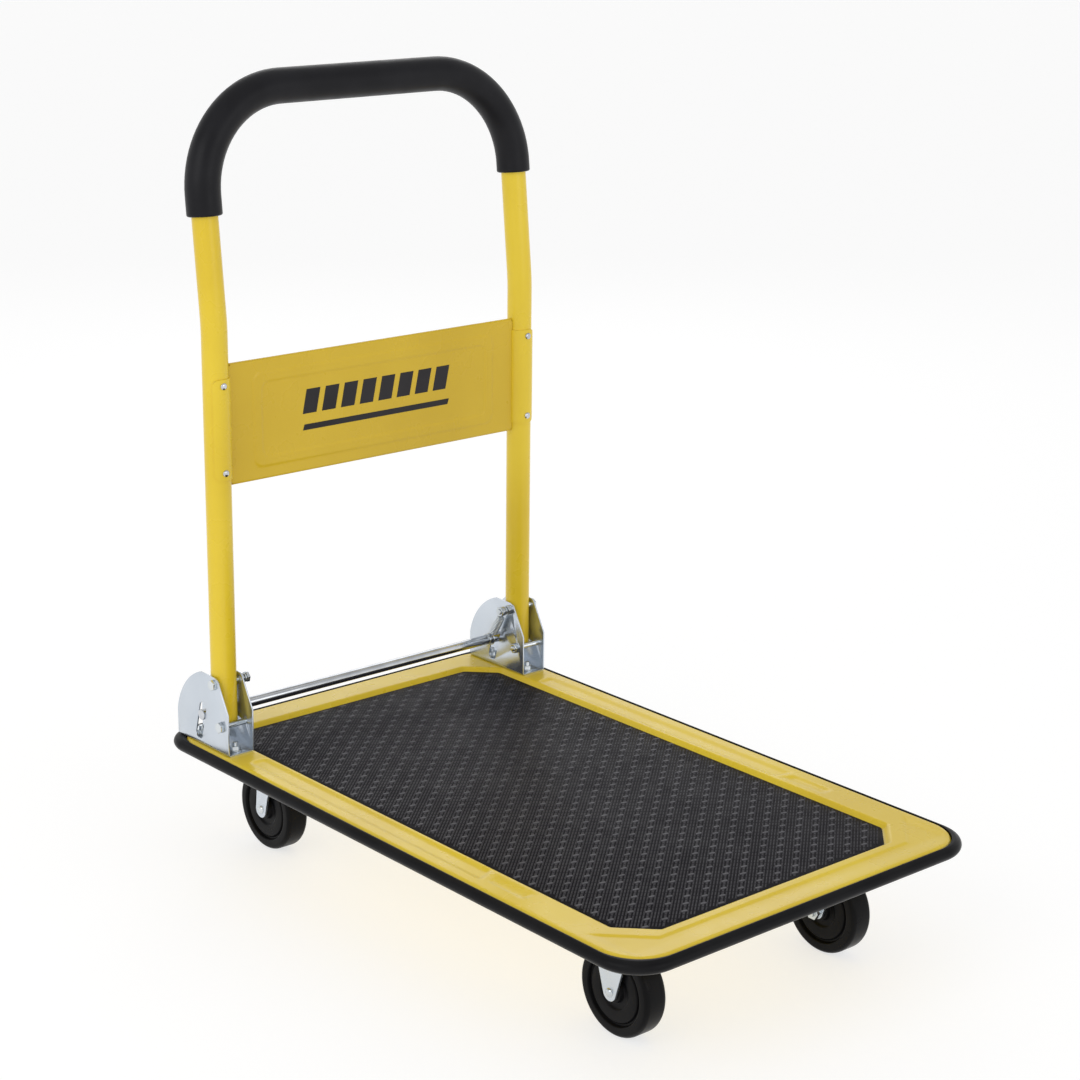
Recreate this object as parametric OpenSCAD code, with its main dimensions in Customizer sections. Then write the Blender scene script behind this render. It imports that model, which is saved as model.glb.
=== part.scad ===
/* [Deck] */
// Height of the mat's top face above the floor
mat_top = 123.5; // [100:0.5:160]
// Length of the painted deck without the bumper
deck_len = 706.2; // [500:1:1000]
// Width of the painted deck without the bumper
deck_w = 430.2; // [300:1:600]
// Corner radius of the painted deck
deck_r = 44; // [20:1:80]
// Sheet thickness of the deck
deck_t = 1.5; // [1:0.1:3]
// Height of the deck's rim above the mat
rim_rise = 3.1; // [1:0.1:8]
// Depth of the turned-down edge
flange_h = 13; // [8:0.5:30]
// Thickness of the mat
mat_t = 2; // [1:0.1:5]
// Mat edge at the handle end
mat_x0 = -313.5; // [-400:0.5:-200]
// Mat edge at the front end
mat_x1 = 308; // [200:0.5:400]
// Width of the mat
mat_w = 344.4; // [250:0.1:500]
// Size of the mat's cut corners
mat_cut = 27.8; // [10:0.1:60]
// Flat strip beside the mat inside the pressed recess
recess_side = 6; // [4:0.5:20]
// Flat strip at the mat's ends inside the pressed recess
recess_end = 6; // [4:0.5:40]

/* [Bumper] */
// How far the bumper stands out from the deck
bump_out = 7.5; // [4:0.5:20]
// Radius of the bumper's nose
bump_nose = 3.1; // [1:0.1:6]
// Corner radius of the bumper's inner line at the handle end
bump_rear_r = 29; // [20:1:44]
// Corner radius of the bumper's inner line at the front end
bump_front_r = 38; // [20:1:44]

/* [Rails] */
// Width of a cross rail
rail_w = 84; // [60:1:120]
// Length of a cross rail
rail_len = 346; // [250:1:420]
// Sheet thickness of the rails
rail_t = 2; // [1:0.1:4]

/* [Bracket] */
// Distance of each leg's axis from the middle
leg_y = 194.1; // [120:0.1:260]
// Position of the legs' axis along the deck
leg_x = -281.2; // [-340:0.1:-200]
// Clear gap between a bracket's two plates
br_gap = 28; // [26.6:0.1:40]
// Thickness of the bracket sheet
br_t = 1.5; // [1.2:0.1:3]
// Rear edge of the bracket
br_x0 = -344.5; // [-350:0.5:-300]
// Front edge of the bracket
br_x1 = -252.5; // [-270:0.5:-220]
// Height of the bracket above the rim
br_h = 79.2; // [50:0.1:120]
// Height of the bracket's front edge above the rim
br_front_h = 44.5; // [20:0.1:80]
// Radius of the bracket's curved back
br_arc_r = 69.2; // [40:0.1:120]
// Centre of the curved back along the deck
br_arc_x = -276.8; // [-320:0.1:-240]
// Height of the centre of the curved back
br_arc_z = 140.7; // [120:0.1:180]

/* [Handle pivot and lock] */
// Pivot position along the deck
piv_x = -276.2; // [-320:0.1:-240]
// Pivot height above the floor
piv_z = 198; // [160:0.5:240]
// Radius of the pivot and stop bolts
bolt_r = 3; // [2.5:0.1:4]
// Running clearance of the handle on its pivot
piv_gap = 0.05; // [0.01:0.01:0.1]
// Stop bolt position along the deck
stop_x = -264.6; // [-268:0.1:-260]
// Stop bolt height above the floor
stop_z = 156; // [150:0.5:160]
// Radius of the lock rod
rod_r = 5.4; // [3:0.1:5.6]
// Lock rod position along the deck at rest
rod_x = -299.6; // [-330:0.1:-280]
// Lock rod height at rest
rod_z = 159.6; // [130:0.1:190]
// Travel of the lock rod
rod_travel = 21; // [10:0.5:30]
// Slope of the lock slots from upright
slot_tilt = 14.5; // [0:0.5:30]
// Half width of the lock slots
slot_r = 6; // [5.8:0.1:8]

/* [Handle] */
// Outside diameter of the handle tube
tube_d = 26; // [20:0.5:35]
// Wall of the handle tube
tube_t = 1.5; // [1:0.1:3]
// Distance of the leg's front end below the pivot
leg_cut_front = 45.5; // [35:0.5:60]
// Distance of the leg's rear end below the pivot
leg_cut_rear = 35; // [30:0.5:60]
// Height at which the legs bend back
bend_z = 562.4; // [450:1:650]
// Angle of the bend
bend_a = 5.77; // [0:0.1:15]
// Radius of the bend's centre line
bend_r = 220; // [80:1:400]
// Length of the sloped part up to the top bar's axis
upper_len = 223; // [120:1:300]
// Radius of the two top corners
top_r = 98; // [40:1:150]
// Outside diameter of the grip
grip_d = 35; // [28:0.5:45]
// Start of the grip above the bend along the tube
grip_start = 110.5; // [60:0.5:118]
// How much lower the grip sits on the right leg than on average
grip_shift = 4.8; // [0:0.1:6]

/* [Back panel] */
// Lower edge of the panel
pan_z0 = 400.5; // [300:0.5:480]
// Upper edge of the panel
pan_z1 = 523.5; // [450:0.5:560]
// Thickness of the panel sheet
pan_t = 1.2; // [0.8:0.1:2]
// Front face of the panel ahead of the legs' axis
pan_x = 4; // [0:0.5:12]
// Diameter of the rolled edges
hem_d = 5; // [3:0.5:8]
// Height of the upper rivets
riv_z1 = 504.4; // [450:0.1:560]
// Height of the lower rivets
riv_z0 = 417.1; // [380:0.1:460]

/* [Casters] */
// Radius of the wheels
wheel_r = 44; // [35:0.5:60]
// Width of the wheels
wheel_w = 25; // [18:0.5:26]
// Distance of the wheels from the middle
cast_y = 133; // [100:1:180]
// Front axle position
front_x = 252.5; // [200:0.5:300]
// Rear axle position at rest
rear_x = -286; // [-300:0.5:-240]
// Trail of the swivel casters
trail = 28; // [15:1:50]
// Radius of the axles
axle_r = 4; // [3:0.1:6]
// Clear gap between a fork's legs
fork_gap = 29; // [28.5:0.5:45]
// Sheet thickness of the forks
fork_t = 2.5; // [1.5:0.1:4]
// Height of the casters' plates above the floor
plate_top = 107; // [95:0.5:130]

/* [Hidden] */
$fn = 96;
rim_z = mat_top + rim_rise;
floor_z = mat_top - mat_t;
deck_low = rim_z - flange_h;
hl = deck_len / 2;
hw = deck_w / 2;
br_in = leg_y - br_gap / 2 - br_t;
br_out = leg_y + br_gap / 2 + br_t;
tube_r = tube_d / 2;
king_x = rear_x + trail;
rail_z = plate_top;
cut_a = atan((leg_cut_front - leg_cut_rear) / tube_d);
corner_r = 7.8;
yellow = [0.93, 0.80, 0.12];
black = [0.06, 0.06, 0.065];
zinc = [0.72, 0.76, 0.80];
chrome = [0.80, 0.81, 0.83];

// Rounded outline of the deck grown by e
module deck_outline(e) {
    rounded(deck_len + 2 * e, deck_w + 2 * e, deck_r + e);
}

// Rectangle of size w by h with corner radius r
module rounded(w, h, r) {
    square([w, h - 2 * r], center = true);
    square([w - 2 * r, h], center = true);
    for (sx = [-1, 1]) {
        for (sy = [-1, 1]) {
            translate([sx * (w / 2 - r), sy * (h / 2 - r)]) circle(r = r);
        }
    }
}

// Mat outline grown by s at the sides and f at the ends
module mat_outline(s, f) {
    x0 = mat_x0 - f;
    x1 = mat_x1 + f;
    y = mat_w / 2 + s;
    c = mat_cut + (s + f) * 0.41;
    polygon([[x0, -y + c], [x0, y - c], [x0 + c, y], [x1 - c, y],
        [x1, y - c], [x1, -y + c], [x1 - c, -y], [x0 + c, -y]]);
}

// Centres of the bracket bolts
module bracket_points() {
    for (sy = [-1, 1]) {
        for (x = [-325, -264]) {
            translate([x, sy * leg_y, 0]) children();
        }
    }
}

// Pressed deck with a recessed floor and a turned-down edge
module deck_pan() {
    color(yellow)
    difference() {
        union() {
            translate([0, 0, rim_z - deck_t])
            linear_extrude(deck_t)
            difference() {
                deck_outline(0);
                mat_outline(recess_side, recess_end);
            }
            translate([0, 0, floor_z - deck_t])
            linear_extrude(rim_z - floor_z + deck_t)
            difference() {
                mat_outline(recess_side + deck_t, recess_end + deck_t);
                mat_outline(recess_side, recess_end);
            }
            translate([0, 0, floor_z - deck_t])
            linear_extrude(deck_t)
            mat_outline(recess_side + deck_t / 2, recess_end + deck_t / 2);
            translate([0, 0, deck_low])
            linear_extrude(flange_h)
            difference() {
                deck_outline(0);
                deck_outline(-deck_t);
            }
        }
        translate([0, 0, rim_z - 10])
        bracket_points()
        cylinder(r = 3.3, h = 20, $fn = 48);
    }
}

// Section of a cross rail
module rail_section() {
    w = rail_w / 2;
    top = floor_z - deck_t;
    f = 12;
    polygon([[-w, rail_z], [w, rail_z], [w, top - rail_t], [w + f, top - rail_t], [w + f, top],
        [w - rail_t, top], [w - rail_t, rail_z + rail_t], [-w + rail_t, rail_z + rail_t],
        [-w + rail_t, top], [-w - f, top], [-w - f, top - rail_t], [-w, top - rail_t]]);
}

// Centres of one caster's four plate bolts
module plate_points() {
    for (sx = [-1, 1]) {
        for (sy = [-1, 1]) {
            translate([sx * 31, sy * 25, 0]) children();
        }
    }
}

// Centres of all caster plates
module casters() {
    for (sy = [-1, 1]) {
        for (x = [king_x, front_x]) {
            translate([x, sy * cast_y, 0]) children();
        }
    }
}

// Two folded rails that carry the casters
module cross_rails() {
    color(yellow)
    difference() {
        for (x = [king_x, front_x]) {
            translate([x, rail_len / 2, 0])
            rotate([90, 0, 0])
            linear_extrude(rail_len)
            rail_section();
        }
        translate([0, 0, rail_z - 1])
        casters()
        plate_points()
        cylinder(r = 4.2, h = 4, $fn = 32);
    }
}

// Anti-slip mat
module mat() {
    color(black)
    translate([0, 0, floor_z])
    linear_extrude(mat_t)
    mat_outline(0, 0);
}

// Section of the bumper outward from the deck edge
module bumper_section() {
    o = bump_out;
    n = bump_nose;
    zc = mat_top - 3.6;
    polygon([[-5.5, deck_low - 1.3], [0.9, deck_low - 1.3], [2.2, deck_low - 0.8],
        [o - n * 0.62, zc - n * 0.9], [o - n * 0.28, zc - n * 0.62], [o - n * 0.07, zc - n * 0.34], [o, zc],
        [o - n * 0.07, zc + n * 0.34], [o - n * 0.28, zc + n * 0.66], [o - n * 0.62, zc + n * 0.98],
        [1.6, rim_z - 0.55], [0.7, rim_z - 0.3], [0, rim_z - 0.5], [0, deck_low], [-5.5, deck_low]]);
}

// Rubber web that fills one corner of radius r between the deck and the bumper
module bumper_web(r) {
    translate([0, 0, deck_low - 1.3])
    linear_extrude(flange_h + 0.5)
    translate([hl - deck_r, hw - deck_r])
    difference() {
        union() {
            square([deck_r + 0.6, deck_r - r]);
            square([deck_r - r, deck_r + 0.6]);
            translate([deck_r - r, deck_r - r]) circle(r = r + 0.6);
        }
        circle(r = deck_r);
    }
}

// Rubber bumper round the deck edge, rounded tighter than the deck at its corners
module bumper() {
    rr = bump_rear_r;
    rf = bump_front_r;
    color(black) {
        for (s = [0, 1]) {
            mirror([0, s, 0]) {
                translate([rr - hl, hw, 0])
                rotate([90, 0, 90])
                linear_extrude(2 * hl - rr - rf)
                bumper_section();
                translate([hl - rf, hw - rf, 0])
                rotate_extrude(angle = 90)
                translate([rf, 0])
                bumper_section();
                translate([rr - hl, hw - rr, 0])
                rotate([0, 0, 90])
                rotate_extrude(angle = 90)
                translate([rr, 0])
                bumper_section();
                bumper_web(rf);
                mirror([1, 0, 0]) bumper_web(rr);
            }
        }
        translate([hl, hw - rf, 0])
        rotate([90, 0, 0])
        linear_extrude(2 * (hw - rf))
        bumper_section();
        translate([-hl, rr - hw, 0])
        rotate([90, 0, 180])
        linear_extrude(2 * (hw - rr))
        bumper_section();
    }
}

// Outline of one bracket plate in the X-Z plane
module bracket_shape() {
    fx = br_x1 - piv_x;
    fz = rim_z + br_front_h - piv_z;
    d = sqrt(fx * fx + fz * fz);
    a = atan2(fz, fx) + acos(corner_r / d);
    intersection() {
        translate([br_arc_x, br_arc_z]) circle(r = br_arc_r);
        union() {
            translate([piv_x, piv_z]) circle(r = corner_r);
            polygon([[br_x0, rim_z], [br_x0, rim_z + br_h], [piv_x, rim_z + br_h], [piv_x, piv_z],
                [piv_x + corner_r * cos(a), piv_z + corner_r * sin(a)],
                [br_x1, rim_z + br_front_h], [br_x1, rim_z]]);
        }
    }
}

// Slot for the lock rod in the X-Z plane
module slot_shape() {
    s1 = rod_travel + 1.2;
    translate([rod_x, rod_z])
    rotate([0, 0, -slot_tilt]) {
        translate([-slot_r, -s1]) square([2 * slot_r, s1 + 8.5]);
        translate([0, 8.5]) circle(r = slot_r);
        translate([0, -s1]) circle(r = slot_r);
    }
}

// One upright plate with its holes
module bracket_plate() {
    rotate([90, 0, 0])
    linear_extrude(br_t)
    difference() {
        bracket_shape();
        slot_shape();
        translate([piv_x, piv_z]) circle(r = bolt_r);
        translate([stop_x, stop_z]) circle(r = bolt_r);
    }
}

// U-shaped bracket on the left
module bracket() {
    color(zinc) {
        difference() {
            union() {
                translate([0, br_out, 0]) bracket_plate();
                translate([0, br_in + br_t, 0]) bracket_plate();
                translate([br_x0, br_in, rim_z]) cube([br_x1 - br_x0, br_out - br_in, br_t]);
            }
            translate([0, 0, rim_z - 5])
            bracket_points()
            cylinder(r = 3.3, h = 10, $fn = 48);
        }
    }
}

// Hexagon prism of a nut or head
module hex(af, h) {
    cylinder(r = af / sqrt(3), h = h, $fn = 6);
}

// Bolts that hold the brackets to the deck
module bracket_bolts() {
    color(zinc)
    bracket_points() {
        translate([0, 0, rim_z - deck_t - 4]) hex(10, 4);
        translate([0, 0, rim_z - deck_t - 1]) cylinder(r = 3, h = 13, $fn = 48);
    }
}

// Nuts of the bracket bolts
module bracket_nuts() {
    color(zinc)
    bracket_points()
    translate([0, 0, rim_z + br_t])
    difference() {
        union() {
            hex(10, 5);
            cylinder(r = 6.6, h = 1.2, $fn = 48);
        }
        translate([0, 0, -1]) cylinder(r = 3, h = 8, $fn = 48);
    }
}

// Bolt along Y with its head outboard
module side_bolt(len) {
    translate([0, br_out + 4, 0])
    rotate([90, 0, 0]) {
        rotate([0, 0, 30]) hex(10, 4);
        cylinder(r = bolt_r, h = 4 + len, $fn = 64);
    }
}

// Nut along Y starting at y
module side_nut(y, h) {
    translate([0, y, 0])
    rotate([90, 0, 0])
    difference() {
        rotate([0, 0, 15]) hex(10, h);
        translate([0, 0, -1]) cylinder(r = bolt_r, h = h + 2, $fn = 64);
    }
}

// Pivot bolts of both legs
module pivot_bolts() {
    color(zinc)
    for (s = [0, 1]) {
        mirror([0, s, 0])
        translate([piv_x, 0, piv_z])
        side_bolt(br_out - br_in + (s == 0 ? 15.5 : 10.5));
    }
}

// Nuts on the pivot bolts
module pivot_nuts() {
    color(zinc)
    for (s = [0, 1]) {
        mirror([0, s, 0])
        translate([piv_x, 0, piv_z]) {
            side_nut(br_in, s == 0 ? 5 : 3);
            side_nut(br_in - (s == 0 ? 9.4 : 7), s == 0 ? 5 : 3);
        }
    }
}

// Bolts that stop the legs from leaning back
module stop_bolts() {
    color(zinc)
    for (s = [0, 1]) {
        mirror([0, s, 0])
        translate([stop_x, 0, stop_z])
        side_bolt(br_out - br_in + 5.2);
    }
}

// Nuts on the stop bolts
module stop_nuts() {
    color(zinc)
    for (s = [0, 1]) {
        mirror([0, s, 0])
        translate([stop_x, 0, stop_z])
        side_nut(br_in, 4);
    }
}

// Rod across the cart that locks the legs upright
module lock_rod() {
    color(chrome)
    translate([rod_x, br_out + 1, rod_z])
    rotate([90, 0, 0])
    cylinder(r = rod_r, h = 2 * br_out + 2, $fn = 64);
}

// Push-on rings that keep the springs on the rod
module rod_rings() {
    color(zinc)
    for (s = [0, 1]) {
        mirror([0, s, 0])
        translate([rod_x, br_in - 12, rod_z])
        rotate([90, 0, 0])
        difference() {
            cylinder(r = rod_r + 1.4, h = 1.4, $fn = 64);
            translate([0, 0, -1]) cylinder(r = rod_r, h = 4, $fn = 64);
        }
    }
}

// Tension spring from the pivot bolt to the rod, centred this far inside the bracket
module spring(inset) {
    dx = rod_x - piv_x;
    dz = rod_z - piv_z;
    len = sqrt(dx * dx + dz * dz);
    a = atan2(-dx, -dz);
    color(zinc)
    translate([piv_x, br_in - inset, piv_z]) {
        rotate([90, 0, 0]) rotate_extrude() translate([bolt_r + 1, 0]) circle(r = 0.75, $fn = 24);
        translate([dx, 0, dz])
        rotate([90, 0, 0])
        rotate_extrude()
        translate([rod_r + 1, 0])
        circle(r = 0.75, $fn = 24);
        rotate([0, 180 + a, 0]) {
            translate([0, 0, bolt_r + 1]) cylinder(r = 0.75, h = 9 - bolt_r, $fn = 24);
            translate([0, 0, 9])
            difference() {
                cylinder(r = 4.6, h = len - rod_r - 9.9, $fn = 48);
                translate([0, 0, 2]) cylinder(r = 2.9, h = len - rod_r - 13.9, $fn = 48);
            }
        }
    }
}

// Ring section of a round tube
module ring2d(ro, ri) {
    difference() {
        circle(r = ro);
        circle(r = ri);
    }
}

// Round path of radius r over the top, from s0 on the left to s1 on the right
module upper_path(r, s0, s1) {
    st = upper_len - top_r;
    for (s = [0, 1]) {
        low = s == 0 ? s0 : s1;
        mirror([0, s, 0]) {
            translate([0, leg_y, low]) cylinder(r = r, h = st - low);
            translate([0, leg_y - top_r, st])
            rotate([0, -90, 0])
            rotate_extrude(angle = 90)
            translate([top_r, 0])
            circle(r = r);
        }
    }
    translate([0, leg_y - top_r, upper_len])
    rotate([90, 0, 0])
    cylinder(r = r, h = 2 * (leg_y - top_r));
}

// Frame of the sloped upper part
module upper_frame() {
    translate([leg_x, 0, bend_z])
    rotate([0, -bend_a, 0])
    children();
}

// Bent handle tube
module handle_tube() {
    mid = (leg_cut_front + leg_cut_rear) / 2;
    h = bend_r * tan(bend_a / 2);
    low = piv_z - leg_cut_front - 3;
    color(yellow)
    difference() {
        union() {
            for (s = [0, 1]) {
                mirror([0, s, 0]) {
                    translate([leg_x, leg_y, low])
                    linear_extrude(bend_z - h - low)
                    ring2d(tube_r, tube_r - tube_t);
                    translate([leg_x - bend_r, leg_y, bend_z - h])
                    rotate([90, 0, 0])
                    rotate_extrude(angle = bend_a)
                    translate([bend_r, 0])
                    ring2d(tube_r, tube_r - tube_t);
                }
            }
            upper_frame()
            difference() {
                upper_path(tube_r - 0.02, h - 0.4, h - 0.4);
                upper_path(tube_r - tube_t + 0.02, h - 1, h - 1);
            }
        }
        for (s = [0, 1]) {
            mirror([0, s, 0]) {
                translate([piv_x, leg_y, piv_z])
                rotate([90, 0, 0])
                cylinder(r = bolt_r + piv_gap, h = 2 * tube_d, center = true, $fn = 64);
                translate([leg_x, leg_y, piv_z - mid])
                rotate([0, cut_a, 0])
                translate([-40, -30, -60])
                cube([80, 60, 60]);
            }
        }
    }
}

// Moulded grip over the top of the handle
module grip() {
    color(black)
    upper_frame()
    difference() {
        upper_path(grip_d / 2, grip_start + grip_shift, grip_start - grip_shift);
        upper_path(tube_r, grip_start + grip_shift - 1, grip_start - grip_shift - 1);
    }
}

// Curved ear of the panel on one leg
module panel_ear() {
    r0 = tube_r + 0.1;
    translate([leg_x, leg_y, pan_z0 + 9])
    rotate([0, 0, -90])
    rotate_extrude(angle = 138)
    translate([r0, 0])
    square([pan_t, pan_z1 - pan_z0 - 21.5]);
}

// Sheet panel between the legs
module back_panel() {
    x1 = leg_x + pan_x;
    yi = leg_y - tube_r - 0.1;
    color(yellow)
    difference() {
        union() {
            translate([x1 - pan_t, -yi, pan_z0 + 2]) cube([pan_t, 2 * yi, pan_z1 - pan_z0 - 4]);
            for (s = [0, 1]) {
                mirror([0, s, 0]) {
                    panel_ear();
                    translate([leg_x - 0.5, yi - pan_t, pan_z0 + 9])
                    cube([pan_x + 0.5, pan_t, pan_z1 - pan_z0 - 21.5]);
                }
            }
            for (z = [pan_z0 + hem_d / 2, pan_z1 - hem_d / 2]) {
                translate([x1 - hem_d / 2, yi - 1.5, z])
                rotate([90, 0, 0])
                linear_extrude(2 * yi - 3)
                ring2d(hem_d / 2, hem_d / 2 - pan_t);
            }
            translate([x1 - pan_t, 0, (pan_z0 + pan_z1) / 2])
            rotate([90, 0, 90])
            linear_extrude(pan_t + 0.8)
            difference() {
                rounded(306, 96, 10);
                rounded(286, 76, 8);
            }
        }
        for (s = [0, 1]) {
            for (z = [riv_z0, riv_z1]) {
                mirror([0, s, 0])
                translate([leg_x, leg_y, z])
                rotate([0, 90, 0])
                cylinder(r = 2.05, h = 20, $fn = 32);
            }
        }
    }
}

// Rivets through the panel's ears
module panel_rivets() {
    color(chrome)
    for (s = [0, 1]) {
        for (z = [riv_z0, riv_z1]) {
            mirror([0, s, 0])
            translate([leg_x, leg_y, z])
            rotate([0, 90, 0]) {
                translate([0, 0, tube_r + 0.1]) cylinder(r = 2, h = pan_t, $fn = 32);
                translate([0, 0, tube_r + pan_t + 0.1])
                rotate_extrude($fn = 48)
                intersection() {
                    square([4, 4]);
                    translate([0, -2.4]) circle(r = 4.2);
                }
            }
        }
    }
}

// Top plate of a caster with bolt holes and a centre hole of radius c
module top_plate(c) {
    difference() {
        translate([-40, -33, plate_top - fork_t]) cube([80, 66, fork_t]);
        translate([0, 0, plate_top - fork_t - 1])
        plate_points()
        cylinder(r = 4.2, h = fork_t + 2, $fn = 32);
        if (c > 0) translate([0, 0, plate_top - fork_t - 1]) cylinder(r = c, h = fork_t + 2, $fn = 48);
    }
}

// Rigid fork of a front caster
module fork_front(sy) {
    color(zinc)
    translate([front_x, sy * cast_y, 0]) {
        top_plate(0);
        for (y = [-fork_gap / 2, fork_gap / 2 + fork_t]) {
            translate([0, y, 0])
            rotate([90, 0, 0])
            linear_extrude(fork_t)
            difference() {
                union() {
                    translate([0, wheel_r]) circle(r = 8);
                    polygon([[-25, plate_top - 1], [25, plate_top - 1], [25, plate_top - 8],
                        [7.8, wheel_r - 1.8], [-7.8, wheel_r - 1.8], [-25, plate_top - 8]]);
                }
                translate([0, wheel_r]) circle(r = axle_r, $fn = 48);
            }
        }
    }
}

// Axle with a round head outboard, for a wheel at the origin
module axle() {
    y = fork_gap / 2 + fork_t;
    rotate([90, 0, 0])
    translate([0, 0, -y])
    cylinder(r = axle_r, h = 2 * y + 9, $fn = 64);
    translate([0, y, 0])
    rotate([-90, 0, 0])
    rotate_extrude($fn = 48)
    intersection() {
        square([4.6, 2.4]);
        translate([0, -3]) circle(r = 5.4);
    }
}

// Nut of an axle
module axle_nut() {
    y = fork_gap / 2 + fork_t;
    translate([0, -y, 0])
    rotate([90, 0, 0])
    difference() {
        hex(13, 6.5);
        translate([0, 0, -1]) cylinder(r = axle_r, h = 9, $fn = 64);
    }
}

// Axles of the front casters
module axles_front() {
    color(zinc)
    for (s = [0, 1]) {
        mirror([0, s, 0])
        translate([front_x, cast_y, wheel_r])
        axle();
    }
}

// Axle nuts of the front casters
module axle_nuts_front() {
    color(zinc)
    for (s = [0, 1]) {
        mirror([0, s, 0])
        translate([front_x, cast_y, wheel_r])
        axle_nut();
    }
}

// Rear caster plate with its ball cup
module plate_rear(sy) {
    color(zinc)
    translate([king_x, sy * cast_y, 0]) {
        top_plate(5);
        difference() {
            translate([0, 0, 96]) cylinder(r = 25, h = plate_top - fork_t - 96);
            translate([0, 0, 95]) cylinder(r = 22.8, h = 5.7);
            translate([0, 0, 95]) cylinder(r = 5, h = 20, $fn = 48);
        }
    }
}

// Ball rings of the swivels
module ball_rings() {
    color(chrome)
    for (sy = [-1, 1]) {
        translate([king_x, sy * cast_y, 98])
        rotate_extrude()
        translate([17, 0])
        circle(r = 2.7, $fn = 32);
    }
}

// King pins of the swivels
module king_pins() {
    color(zinc)
    for (sy = [-1, 1]) {
        translate([king_x, sy * cast_y, 0]) {
            translate([0, 0, 88]) cylinder(r = 8, h = 4.2, $fn = 64);
            translate([0, 0, 88]) cylinder(r = 5, h = plate_top - 88, $fn = 64);
        }
    }
}

// Swivelling fork of a rear caster
module fork_rear(sy) {
    color(zinc)
    translate([rear_x, sy * cast_y, 0]) {
        difference() {
            translate([0, 0, 92.5])
            linear_extrude(2.5)
            union() {
                translate([trail, 0]) circle(r = 22);
                translate([-3.5, -fork_gap / 2 - fork_t]) square([trail, fork_gap + 2 * fork_t]);
            }
            translate([trail, 0, 90]) cylinder(r = 5.05, h = 8, $fn = 64);
        }
        for (y = [-fork_gap / 2, fork_gap / 2 + fork_t]) {
            translate([0, y, 0])
            rotate([90, 0, 0])
            linear_extrude(fork_t)
            difference() {
                union() {
                    translate([0, wheel_r]) circle(r = 8.5);
                    polygon([[-8.4, wheel_r - 1], [-3.5, 95], [42, 95], [42, 91.5], [30, 86],
                        [20, 76], [12.6, 61], [8.4, wheel_r - 1]]);
                }
                translate([0, wheel_r]) circle(r = axle_r, $fn = 48);
            }
        }
    }
}

// Axle of one rear caster
module axle_rear(s) {
    color(zinc)
    mirror([0, s, 0])
    translate([rear_x, cast_y, wheel_r])
    axle();
}

// Axle nut of one rear caster
module axle_nut_rear(s) {
    color(zinc)
    mirror([0, s, 0])
    translate([rear_x, cast_y, wheel_r])
    axle_nut();
}

// Section of a wheel, radius against width
module wheel_section() {
    w = wheel_w / 2;
    r = wheel_r;
    polygon([[6, -w - 1.2], [11, -w - 1.2], [12, -w + 3.5], [17, -w + 3.5], [18.5, -w + 1.5], [30, -w + 1.5],
        [31, -w + 3.8], [33, -w + 3.8], [34, -w], [r - 3, -w], [r - 1.6, -w + 0.4], [r - 0.5, -w + 1.4],
        [r, -w + 3], [r, w - 3], [r - 0.5, w - 1.4], [r - 1.6, w - 0.4], [r - 3, w], [34, w],
        [33, w - 3.8], [31, w - 3.8], [30, w - 1.5], [18.5, w - 1.5], [17, w - 3.5], [12, w - 3.5],
        [11, w + 1.2], [6, w + 1.2]]);
}

// Wheel with stepped faces
module wheel(x, sy) {
    color(black)
    translate([x, sy * cast_y, wheel_r])
    rotate([90, 0, 0])
    rotate_extrude($fn = 128)
    wheel_section();
}

// Bushing pressed into a wheel
module bush(x, sy) {
    color(zinc)
    translate([x, sy * cast_y, wheel_r])
    rotate([90, 0, 0])
    difference() {
        cylinder(r = 6, h = fork_gap - 0.6, center = true, $fn = 64);
        cylinder(r = axle_r + 0.05, h = fork_gap + 2, center = true, $fn = 64);
    }
}

// Bolts of all caster plates
module caster_bolts() {
    color(zinc)
    casters()
    plate_points() {
        translate([0, 0, rail_z + rail_t]) hex(13, 5.3);
        translate([0, 0, plate_top - fork_t - 8.5]) cylinder(r = 4, h = rail_t + fork_t + 10, $fn = 32);
    }
}

// Nuts of all caster plates
module caster_nuts() {
    color(zinc)
    casters()
    plate_points()
    translate([0, 0, plate_top - fork_t - 6.5])
    difference() {
        hex(13, 6.5);
        translate([0, 0, -1]) cylinder(r = 4, h = 9, $fn = 32);
    }
}

deck_pan();
cross_rails();
mat();
bumper();
bracket();  // bracket_left
mirror([0, 1, 0]) bracket();  // bracket_right
bracket_bolts();
bracket_nuts();
pivot_bolts();
pivot_nuts();
stop_bolts();
stop_nuts();
lock_rod();
rod_rings();
spring(7.2);  // spring_left
mirror([0, 1, 0]) spring(5.5);  // spring_right
handle_tube();
grip();
back_panel();
panel_rivets();
fork_front(1);  // fork_front_left
fork_front(-1);  // fork_front_right
axles_front();
axle_nuts_front();
plate_rear(1);  // plate_rear_left
plate_rear(-1);  // plate_rear_right
ball_rings();
king_pins();
fork_rear(1);  // fork_rear_left
fork_rear(-1);  // fork_rear_right
axle_rear(0);  // axle_rear_left
axle_rear(1);  // axle_rear_right
axle_nut_rear(0);  // axle_nut_rear_left
axle_nut_rear(1);  // axle_nut_rear_right
wheel(front_x, 1);  // wheel_front_left
wheel(front_x, -1);  // wheel_front_right
wheel(rear_x, 1);  // wheel_rear_left
wheel(rear_x, -1);  // wheel_rear_right
bush(front_x, 1);  // bush_front_left
bush(front_x, -1);  // bush_front_right
bush(rear_x, 1);  // bush_rear_left
bush(rear_x, -1);  // bush_rear_right
caster_bolts();
caster_nuts();
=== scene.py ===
import bpy
import bmesh
import math
from mathutils import Vector, Matrix


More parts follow.
